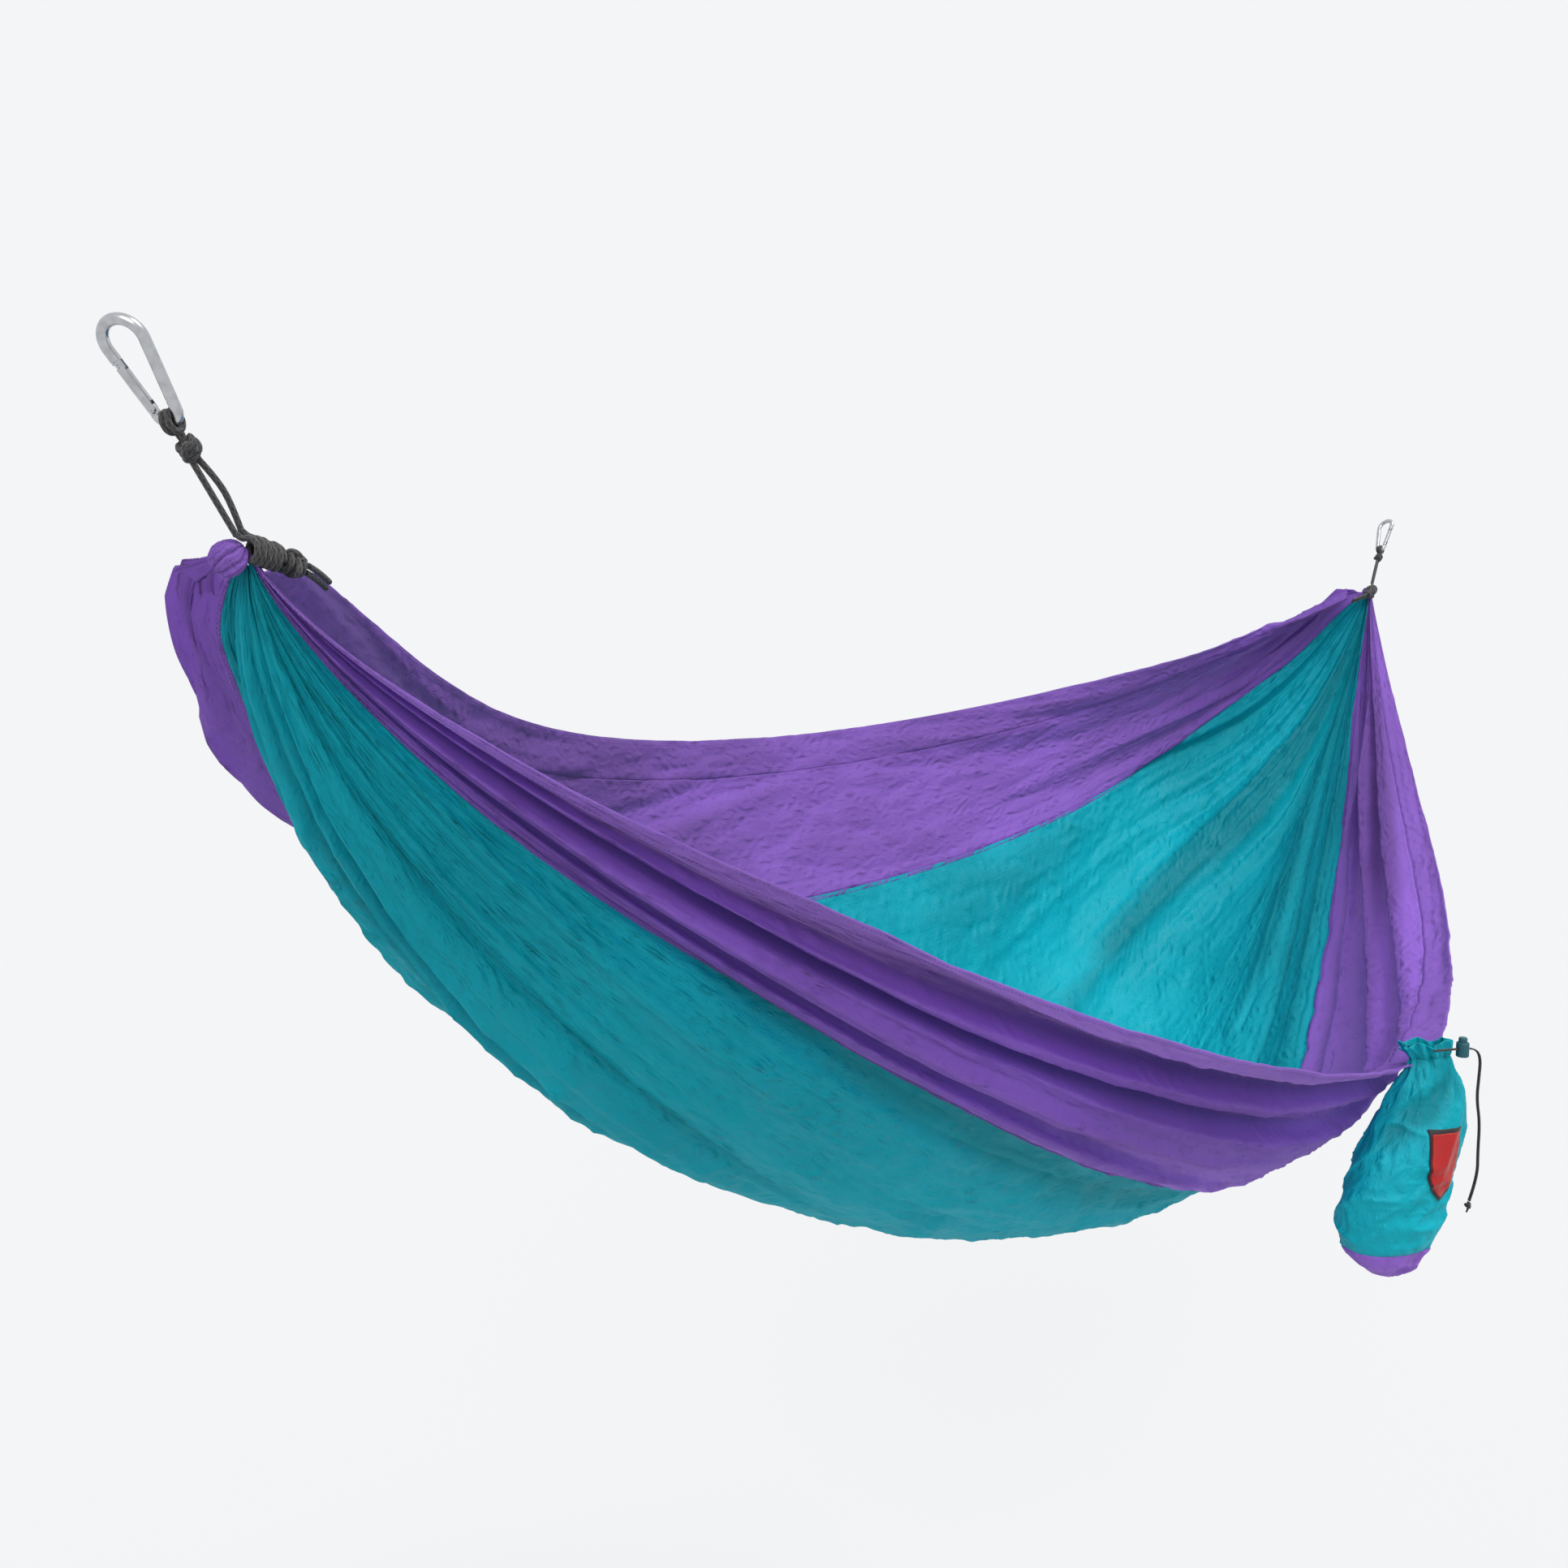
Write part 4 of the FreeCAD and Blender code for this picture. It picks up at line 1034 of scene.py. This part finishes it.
def patch_layer(name, width, height, lift, sack_tree, paint, thickness):
    """A flat shield laid on the sack's front, following its folds."""
    outline = shield(width, height)
    levels = sorted({round(level, 6) for _, level in outline} | set(np.linspace(-height / 2, height / 2, 34).round(6)), reverse=True)
    heights = np.array([level for _, level in outline])[::-1]
    halves = np.array([across for across, _ in outline])[::-1]
    rows = []
    for level in levels:
        half = float(np.interp(level, heights, halves))
        row = []
        for share in np.linspace(-1, 1, 25):
            across = -0.001 + share * half + 0.14 * level
            start = Vector(sack_point(across, 0.12, -0.120 + level))
            hit, normal, _, _ = sack_tree.ray_cast(start, Vector(-SACK_FRONT))
            row.append(np.array(hit) + SACK_FRONT * lift)
        rows.append(row)
    points = np.array(rows)
    for _ in range(3):
        points[1:-1, 1:-1] = (points[1:-1, 1:-1] * 2 + points[:-2, 1:-1] + points[2:, 1:-1]) / 4
    flat = np.stack(np.broadcast_arrays(np.array(levels)[:, None], np.linspace(-width / 2, width / 2, 25)[None]), -1)
    piece = grid_mesh(name, points, paint, flat)
    return thicken(piece, thickness)


def make_sack():
    body = sack_piece("sack_body_cloth", BASE_SEAM, CHANNEL_SEAM, 130, "sack_cloth", "sack_body")
    sack_piece("sack_mouth_cloth", CHANNEL_SEAM, 0.020, 22, "sack_cloth", "sack_mouth_channel", 0.0014)
    sack_piece("sack_base_cloth", SACK_SECTIONS[-1, 0], BASE_SEAM, 34, "sack_base_cloth", "sack_base")
    tree = BVHTree.FromObject(body, bpy.context.evaluated_depsgraph_get())
    layers = [
        patch_layer("patch_edge", 0.048, 0.086, 0.0012, tree, DARK_THREAD, 0.0016),
        patch_layer("patch_field", 0.042, 0.077, 0.0022, tree, "patch", 0.0014),
    ]
    layers[1].data.materials.append(DARK_THREAD)
    place_piece(join("sack_patch_layers", layers), "stuff_sack", ["sack_patch"])
    make_tab()


def make_tab():
    """Short cloth loop between the hem and the neck of the sack."""
    width, length = 0.018, 0.020
    lengthways = np.linspace(-0.004, length + 0.003, 24)[:, None]
    sideways = np.linspace(-width / 2, width / 2, 12)[None]
    lengthways, sideways = np.broadcast_arrays(lengthways, sideways)
    sag = -0.0012 * np.sin(np.pi * np.clip(lengthways / length, 0, 1)) + 0.0003 * np.cos(sideways * 700)
    middle = HEM_MIDDLE + [0, 0, 0.003]
    points = middle + SACK_ACROSS * sideways[..., None] + SACK_FRONT * lengthways[..., None] + np.array([0, 0, 1]) * sag[..., None]
    piece = grid_mesh("sack_tab_cloth", points, "sack_cloth", np.stack([lengthways, sideways], -1))
    thicken(piece, 0.0018)
    place_piece(piece, "bed", ["sack_tab"])


DRAWCORD_ROUTE = (
    (-0.001, 0.016, 0.014), (0.016, 0.026, 0.017), (0.050, 0.026, 0.017), (0.061, 0.025, 0.004), (0.058, 0.027, -0.022),
    (0.053, 0.031, -0.046), (0.054, 0.037, -0.074), (0.050, 0.041, -0.108), (0.054, 0.038, -0.142), (0.046, 0.035, -0.173),
)
DRAWCORD_RADIUS = 0.001


def make_drawcord():
    last = DRAWCORD_ROUTE[-1]
    knot_at = sack_point(last[0] - 0.0012, last[1], last[2] - 0.0053)
    parts = [tube("tail_a", knot_points(knot_at, (0, 0, 1), 0.0034, flat=1.5), DRAWCORD_RADIUS, "drawcord", closed=True),
             tube("tail_b", coil_points(knot_at, (0.1, 0, 1), 0.0026, 0.006, 2.6, 21), DRAWCORD_RADIUS, "drawcord")]
    for shift in (-1, 1):
        tail = [knot_at + [0, 0, -0.002], knot_at + [0.0015 * shift, 0, -0.005], knot_at + [0.002 * shift, 0.001, -0.0085]]
        parts.append(tube("tail_end", nurbs_line(tail, 0.0006), DRAWCORD_RADIUS, "drawcord"))
    knot = place_piece(join("drawcord_tail_knot", parts), "stuff_sack", ["drawcord_knot"])
    for name, shift in (("front", 1.0), ("back", -1.0)):
        route = [sack_point(a, f + shift * 0.0012, h) for a, f, h in DRAWCORD_ROUTE]
        line = nurbs_line(route, 0.0009)
        piece = tube(f"drawcord_{name}_strand", line, DRAWCORD_RADIUS, "drawcord", around=12)
        place_piece(piece, "stuff_sack", [f"drawcord_{name}"])


# the cord lock's coil spring, inside its barrel
SPRING_WIRE = 0.00025
SPRING_RADIUS = 0.0019
SPRING_TURNS = 3.5


def make_lock_spring():
    """The coil spring under the button."""
    low, high = (Vector(corner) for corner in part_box("cord_lock_spring"))
    middle = (low + high) / 2
    angle = np.linspace(0, 2 * np.pi * SPRING_TURNS, 120)
    rise = np.linspace(low.z + SPRING_WIRE, high.z - SPRING_WIRE, 120)
    line = np.stack([middle.x + SPRING_RADIUS * np.cos(angle), middle.y + SPRING_RADIUS * np.sin(angle), rise], -1)
    spring = tube("lock_spring_coil", line, SPRING_WIRE, "spring_steel", around=10)
    place_piece(spring, "cord_lock", ["cord_lock_spring"])
    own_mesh(spring)


make_camera()
make_stage()
for end in (End("near"), End("far")):
    make_ropes(end)
    make_bunch(end)
make_bed()
make_sack()
make_drawcord()
make_lock_spring()
paint_hardware()

bpy.context.view_layer.update()
